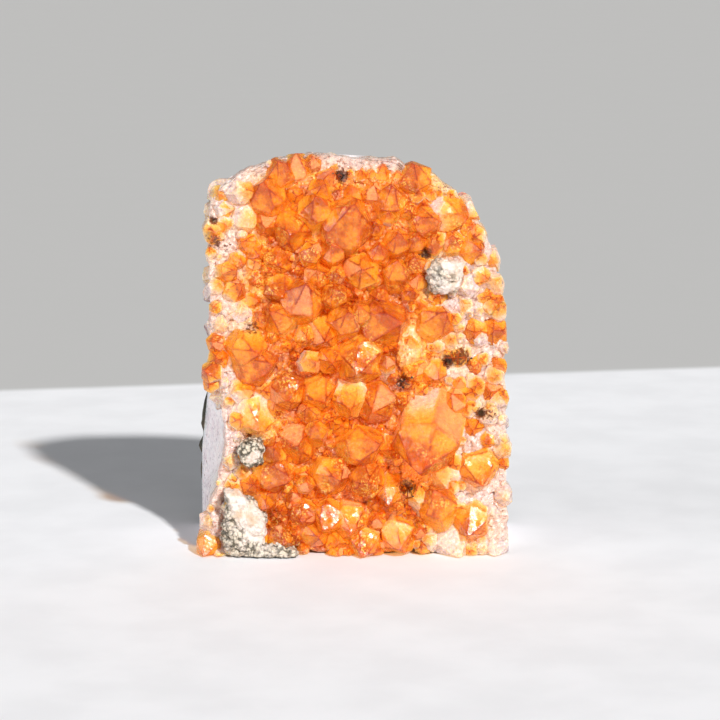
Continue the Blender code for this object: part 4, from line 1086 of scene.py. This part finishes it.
class CITRINE_OT_grainy_quartz(bpy.types.Operator):
    """Lays grainy quartz over the floor between the points"""

    bl_idname = "citrine.grainy_quartz"
    bl_label = "Grainy quartz"

    def execute(self, context):
        """Rows of places across the floor of the druse stand out from it by swells, by two sizes of
        leaning grains and by noise. The sheet is tucked in at its edge and closed by a flat back."""
        rows, columns = 270, 210
        grain = context.scene.citrine.grain_size / MM
        v, u = np.meshgrid(np.linspace(0, 1, rows), np.linspace(0, 1, columns), indexing="ij")
        height = 0.5 + v * 110.6
        left, right = (side + 0.5 * noise_at(9 * u, 0, height, 2.6) for side in druse_sides(height))
        x = left + (right - left) * u
        y = layer_y(DRUSE_BACK, height) - FLOOR

        # An uneven foot and crown.
        height = height + np.maximum(0, 0.3 + 1.7 * noise_at(x, 0, 0, 8.0)) * smooth(6, 0, height)
        crown = noise_at(x, 5, 0, 2.3) + noise_at(x, 0, x, 5.5)
        height = height + (0.8 + 0.8 * crown) * smooth(98, 111, height)
        flat = np.stack([x, y, height], -1) + SHIFT

        # How far each place stands out.
        sx, sz = seen(flat)
        large, name, broad_lean = cells(sx, sz, grain * 2.3, seed=3)
        small, other, fine_lean = cells(sx, sz, grain, seed=8)
        swollen = 0
        for cx, cz, wide, high, thick in SWELLS:
            far = ((sx - cx) / wide) ** 2 + ((sz - cz) / high) ** 2
            swollen = np.maximum(swollen, thick * np.sqrt(np.clip(1 - far, 0, 1)))
        rough = noise_at(sx, 0, sz, 2.1) + 0.5 * noise_at(sx, sz, 9, 0.9)
        calm = 1 - 0.6 * np.clip(swollen, 0, 1)
        grains = (0.3 * (1 - large**2) * (0.3 + name) + 0.7 * broad_lean) * calm
        grains = grains + 0.12 * (1 - small**2) * other + 0.35 * fine_lean
        edge = np.minimum(np.minimum(u, 1 - u) * (right - left), np.minimum(v, 1 - v) * 110) / 0.7
        tuck = smooth(0, 1, edge)
        flat[..., 1] -= (0.3 + swollen + grains + 0.3 * rough) * tuck - 0.2 * (1 - tuck)
        flat[..., 2] += 0.3 * (other - 0.5) * tuck

        # The flat back behind the sheet's edge.
        verts = flat.reshape(-1, 3)
        number = np.arange(rows * columns).reshape(rows, columns)
        ring = np.concatenate([number[0, :-1], number[:-1, -1], number[-1, :0:-1], number[:0:-1, 0]])
        back = verts[ring]
        back[:, 1] = layer_y(DRUSE_BACK, back[:, 2]) - 0.1 + SHIFT[1]
        a = np.arange(len(ring))
        b = (a + 1) % len(ring)
        faces = grid_faces(rows, columns).tolist()
        faces += np.stack([ring[b], ring[a], a + len(verts), b + len(verts)], -1).tolist()
        faces.append((a[::-1] + len(verts)).tolist())

        tone = 0.12 + 0.70 * orange_zone(sx, sz) * (1 - 0.75 * np.clip(swollen / 2.5, 0, 1))
        tone = (tone + 0.10 * (name - 0.5)) * (1 - 0.6 * smooth(106, 111, sz))
        values = {"tone": tone.ravel(), "stain": blot(sx, sz, STAINS).ravel()}
        values = {title: np.concatenate([each, each[ring]]) for title, each in values.items()}
        piece = mesh_object("grainy_quartz", kept_in(np.concatenate([verts, back])), faces, values)
        put_on_stage(piece, look()["sugar"], ["citrine_crystals"])
        return {"FINISHED"}


def streaks(x, z):
    """How far each place lies from the streaks, eased: 0 on them and 1 away from them."""
    away = np.ones(x.shape)
    for ax, az, bx, bz, half in STREAKS:
        far = from_line(x, z, (ax, az), (bx, bz))
        away = np.minimum(away, smooth(half * 0.7, half * 1.5, far))
    return away


def pillow(x, z, out, half, outline, share):
    """A rough pillow: a ball whose reach sideways is a share of the outline's and whose depth is half,
    both eased outwards, with lumps and two sizes of grain."""
    rows, columns = 90, 180
    corners = np.array(outline, float) - (x, z)
    turns = np.arctan2(corners[:, 1], corners[:, 0])
    reaches = np.hypot(corners[:, 0], corners[:, 1])
    order = np.argsort(turns)
    t, f = np.meshgrid((np.arange(rows) + 1) / (rows + 1) * math.pi,
                       np.arange(columns) / columns * math.tau - math.pi, indexing="ij")
    way = np.stack([np.cos(f) * np.sin(t), -np.cos(t), np.sin(f) * np.sin(t)], -1).reshape(-1, 3)
    way = np.concatenate([way, [[0, -1, 0]], [[0, 1, 0]]])
    turn = np.arctan2(way[:, 2], way[:, 0])
    reach = np.interp(turn, turns[order], reaches[order], period=math.tau)
    spread = share * reach * np.hypot(way[:, 0], way[:, 2]) ** 0.6
    depth = half * np.sign(way[:, 1]) * np.abs(way[:, 1]) ** 0.7
    p = placed(x, z, out) + np.stack([spread * np.cos(turn), depth, spread * np.sin(turn)], -1)
    blocks, own, lean = cells(p[:, 0] + 0.4 * p[:, 1], p[:, 2] - 0.3 * p[:, 1], 1.5, seed=4)
    lump = 0.8 * value_noise(p, 3.0) + 0.25 * value_noise(p, 1.0) + 0.14 * value_noise(p, 0.45)
    lump = lump + streaks(*seen(p)) * (0.7 * (1 - blocks**2) * (0.3 + own) + 0.6 * lean - 0.4)
    p = p + way * (lump - 0.1)[:, None]
    p[:, 2] = np.maximum(p[:, 2], 0.5)
    pole = rows * columns
    faces = grid_faces(rows, columns, wrap=True)[:, ::-1].tolist()
    faces += fan(0, columns, pole).tolist() + fan(rows - 1, columns, pole + 1)[:, ::-1].tolist()
    return p, faces


class CITRINE_OT_calcite(bpy.types.Operator):
    """Makes the three calcite crusts"""

    bl_idname = "citrine.calcite"
    bl_label = "Calcite crusts"

    def execute(self, context):
        """Each crust has its own share of grey grains and its own share of its outline's width."""
        looks = ((0.6, 1.0), (0.75, 0.84), (0.5, 0.9))
        for (name, (node, lumps)), (grade, share) in zip(CRUSTS.items(), looks):
            verts, faces = np.zeros((0, 3)), []
            for lump in lumps:
                p, quads = pillow(*lump, share)
                faces += [[corner + len(verts) for corner in face] for face in quads]
                verts = np.concatenate([verts, p])
            grey = 0.22 + grade * streaks(*seen(verts))
            piece = mesh_object(name, kept_in(verts), faces, {"grey": grey}, smooth_shaded=True)
            put_on_stage(piece, look()["calcite"], [node])
        return {"FINISHED"}


class CITRINE_OT_dark_grains(bpy.types.Operator):
    """Sets small dark mineral grains on the quartz"""

    bl_idname = "citrine.dark_grains"
    bl_label = "Dark grains"

    def execute(self, context):
        ball = bmesh.new()
        bmesh.ops.create_icosphere(ball, subdivisions=1, radius=1)
        shape = np.array([vertex.co for vertex in ball.verts])
        sides = np.array([[vertex.index for vertex in face.verts] for face in ball.faces])
        ball.free()
        dark = STAINS[STAINS[:, 3] > BLACK_FROM]
        rows = np.repeat(dark, (12 * dark[:, 3] * dark[:, 2]).astype(int), axis=0)
        number = np.arange(len(rows))
        turn = hashed(number, 1) * math.tau
        far = rows[:, 2] * 1.3 * hashed(number, 2)
        x = rows[:, 0] + far * np.cos(turn) * 1.2
        z = rows[:, 1] + far * np.sin(turn) * 0.8
        places, met = surface_hits(x, z)
        number = number[met]
        size = 0.10 + 0.28 * hashed(number, 3) ** 3
        jagged = 0.7 + 0.6 * hashed(number[:, None], np.arange(len(shape))[None])
        squash = np.stack([hashed(number, 4), hashed(number, 5), hashed(number, 6)], -1) * 1.2 + 0.5
        verts = shape[None] * (jagged * size[:, None])[..., None] * squash[:, None]
        verts = (verts + places[:, None]).reshape(-1, 3)
        faces = (sides[None] + (np.arange(len(number)) * len(shape))[:, None, None]).reshape(-1, 3)
        piece = mesh_object("dark_grains", kept_in(verts), faces)
        put_on_stage(piece, look()["speck"])
        return {"FINISHED"}


class CITRINE_OT_rind(bpy.types.Operator):
    """Makes the rough rock rind behind the slab"""

    bl_idname = "citrine.rind"
    bl_label = "Rock rind"

    def execute(self, context):
        """Rings that run along the slab's back edge go back over the rind's side, then shrink over its
        back to the middle. The side narrows a little and has ledges; the back is rough by three sizes of
        noise."""
        columns, sides, rows = 300, 12, 60
        steps = np.linalg.norm(np.diff(np.concatenate([BACK, BACK[:1]]), axis=0), axis=1)
        along = np.concatenate([[0], np.cumsum(steps)])
        at = np.arange(columns) / columns * along[-1]
        edge = np.stack([np.interp(at, along, np.append(BACK[:, k], BACK[0, k])) for k in (0, 1)], -1)
        share = np.concatenate([np.zeros(sides), np.linspace(0, 1, rows + 1)[1:-1]])[:, None]
        depth = np.concatenate([np.linspace(0, 1, sides), np.ones(rows - 1)])[:, None]
        narrow = 1 - np.array([0.045, 0.035]) * depth[..., None]
        middle = np.array([0.0, 45.0])
        flat = middle + (edge[None] * narrow - middle) * (1 - share[..., None])
        x, z = flat[..., 0], flat[..., 1]
        lump = noise_at(x, 1, z, 13.0) + 0.7 * noise_at(x, 9, z, 5.0)
        grit = noise_at(x, 3, z, 1.6)
        front = layer_y(QUARTZ_BACK, z) + GAP
        back = layer_y(RIND_BACK, z) + 2.0 * lump + 0.45 * grit
        y = front + (back - front) * (0.86 * depth + 0.14 * depth * smooth(0, 0.12, share))
        ledge = smooth(6, 18, z) * smooth(50, 34, z) * smooth(-34, -40, x)
        ledge = ledge * smooth(0, 0.3, depth) * (1 - share)
        knob = noise_at(20, 4 * depth, z, 3.4)
        x = x - (1.2 + 0.7 * grit + 0.9 * knob) * ledge
        x = x - 0.5 * grit * (depth > 0.1) * (1 - share) * np.sign(flat[..., 0])
        verts = np.stack([x, y, np.maximum(z, 0.0)], -1).reshape(-1, 3)
        centre = [[0.0, layer_y(RIND_BACK, middle[1]), middle[1]]]
        faces = grid_faces(len(depth), columns, wrap=True)[:, ::-1].tolist()
        faces += fan(len(depth) - 1, columns, len(verts))[:, ::-1].tolist()
        faces.append(list(range(columns)))
        piece = mesh_object("rock_rind", kept_in(np.concatenate([verts, centre]) + SHIFT, 1.2), faces)
        put_on_stage(piece, look()["rind"], ["basalt_rind"])
        return {"FINISHED"}


class CITRINE_OT_slab(bpy.types.Operator):
    """Gives the sawn slab its material"""

    bl_idname = "citrine.slab"
    bl_label = "Sawn slab"

    def execute(self, context):
        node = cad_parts["quartz_bed"]
        node.data.materials.clear()
        node.data.materials.append(look()["bed"])
        return {"FINISHED"}


def sun_lamp(name, strength, spread, turn, height, colour=(1.0, 1.0, 1.0)):
    """A sun lamp that shines from this turn, rightwards of the front, and height, in degrees."""
    lamp = bpy.data.lights.new(name, "SUN")
    lamp.energy = strength
    lamp.angle = math.radians(spread)
    lamp.color = colour
    turn, height = math.radians(turn), math.radians(height)
    way = Vector((math.sin(turn) * math.cos(height), -math.cos(turn) * math.cos(height), math.sin(height)))
    sun = bpy.data.objects.new(name, lamp)
    sun.rotation_euler = way.to_track_quat("Z", "Y").to_euler()
    bpy.context.scene.collection.objects.link(sun)
    return sun


class CITRINE_OT_stage(bpy.types.Operator):
    """Sets the floor, the lights, the backdrop and the camera"""

    bl_idname = "citrine.stage"
    bl_label = "Stage"

    def execute(self, context):
        scene = context.scene
        settings = scene.citrine
        corners = np.array([(-1, -1, 0), (1, -1, 0), (1, 1, 0), (-1, 1, 0)]) * FLOOR_REACH
        floor = mesh_object("studio_floor", corners, [[0, 1, 2, 3]])
        floor.data.materials.append(look()["floor"])
        world = bpy.data.worlds.new("studio")
        world.use_nodes = True
        sheet = Sheet(world.node_tree)
        path = sheet.add("ShaderNodeLightPath").outputs["Is Camera Ray"]
        tone = sheet.ease(path, 0.0, 1.0, settings.fill_light, settings.wall_tone)
        sheet.wire(world.node_tree.nodes["Background"], Strength=tone, Color=(0.97, 0.99, 1.0, 1))
        scene.world = world
        sun = sun_lamp("sun", settings.sun_strength, spread=3, turn=28.5, height=35.5,
                       colour=(1.0, 0.985, 0.96))
        side = sun_lamp("soft_side", settings.side_light, spread=50, turn=-62, height=6)
        lens = bpy.data.cameras.new("camera")
        lens.lens, lens.sensor_width = 144, 36
        camera = bpy.data.objects.new("camera", lens)
        drop = math.radians(SIGHT_TILT)
        way = Vector((0, math.cos(drop), -math.sin(drop)))
        target = (Vector((SIGHT_X, -20, SIGHT_Z)) + Vector(SHIFT)) * MM
        camera.location = target - way * SIGHT_DISTANCE * MM
        camera.rotation_euler = (math.radians(90) - drop, 0, 0)
        scene.collection.objects.link(camera)
        scene.camera = camera
        scene.view_settings.view_transform = "Standard"
        return {"FINISHED"}


class CITRINE_PT_panel(bpy.types.Panel):
    """Lists the steps and their settings"""

    bl_idname = "CITRINE_PT_panel"
    bl_label = "Citrine cluster"
    bl_space_type = "VIEW_3D"
    bl_region_type = "UI"
    bl_category = "Citrine"

    def draw(self, context):
        for name in CitrineSettings.__annotations__:
            self.layout.prop(context.scene.citrine, name)
        for step in STEPS:
            self.layout.operator(step.bl_idname)


STEPS = (
    CITRINE_OT_orange_points, CITRINE_OT_pale_points, CITRINE_OT_middling_points,
    CITRINE_OT_small_points, CITRINE_OT_grainy_quartz, CITRINE_OT_calcite,
    CITRINE_OT_dark_grains, CITRINE_OT_slab, CITRINE_OT_rind, CITRINE_OT_stage,
)


def register():
    for item in (CitrineSettings, *STEPS, CITRINE_PT_panel):
        bpy.utils.register_class(item)
    bpy.types.Scene.citrine = bpy.props.PointerProperty(type=CitrineSettings)


def unregister():
    del bpy.types.Scene.citrine
    for item in (CITRINE_PT_panel, *reversed(STEPS), CitrineSettings):
        bpy.utils.unregister_class(item)


def main():
    """Runs every step."""
    register()
    for step in STEPS:
        family, name = step.bl_idname.split(".")
        getattr(getattr(bpy.ops, family), name)()


if __name__ == "__main__":
    main()
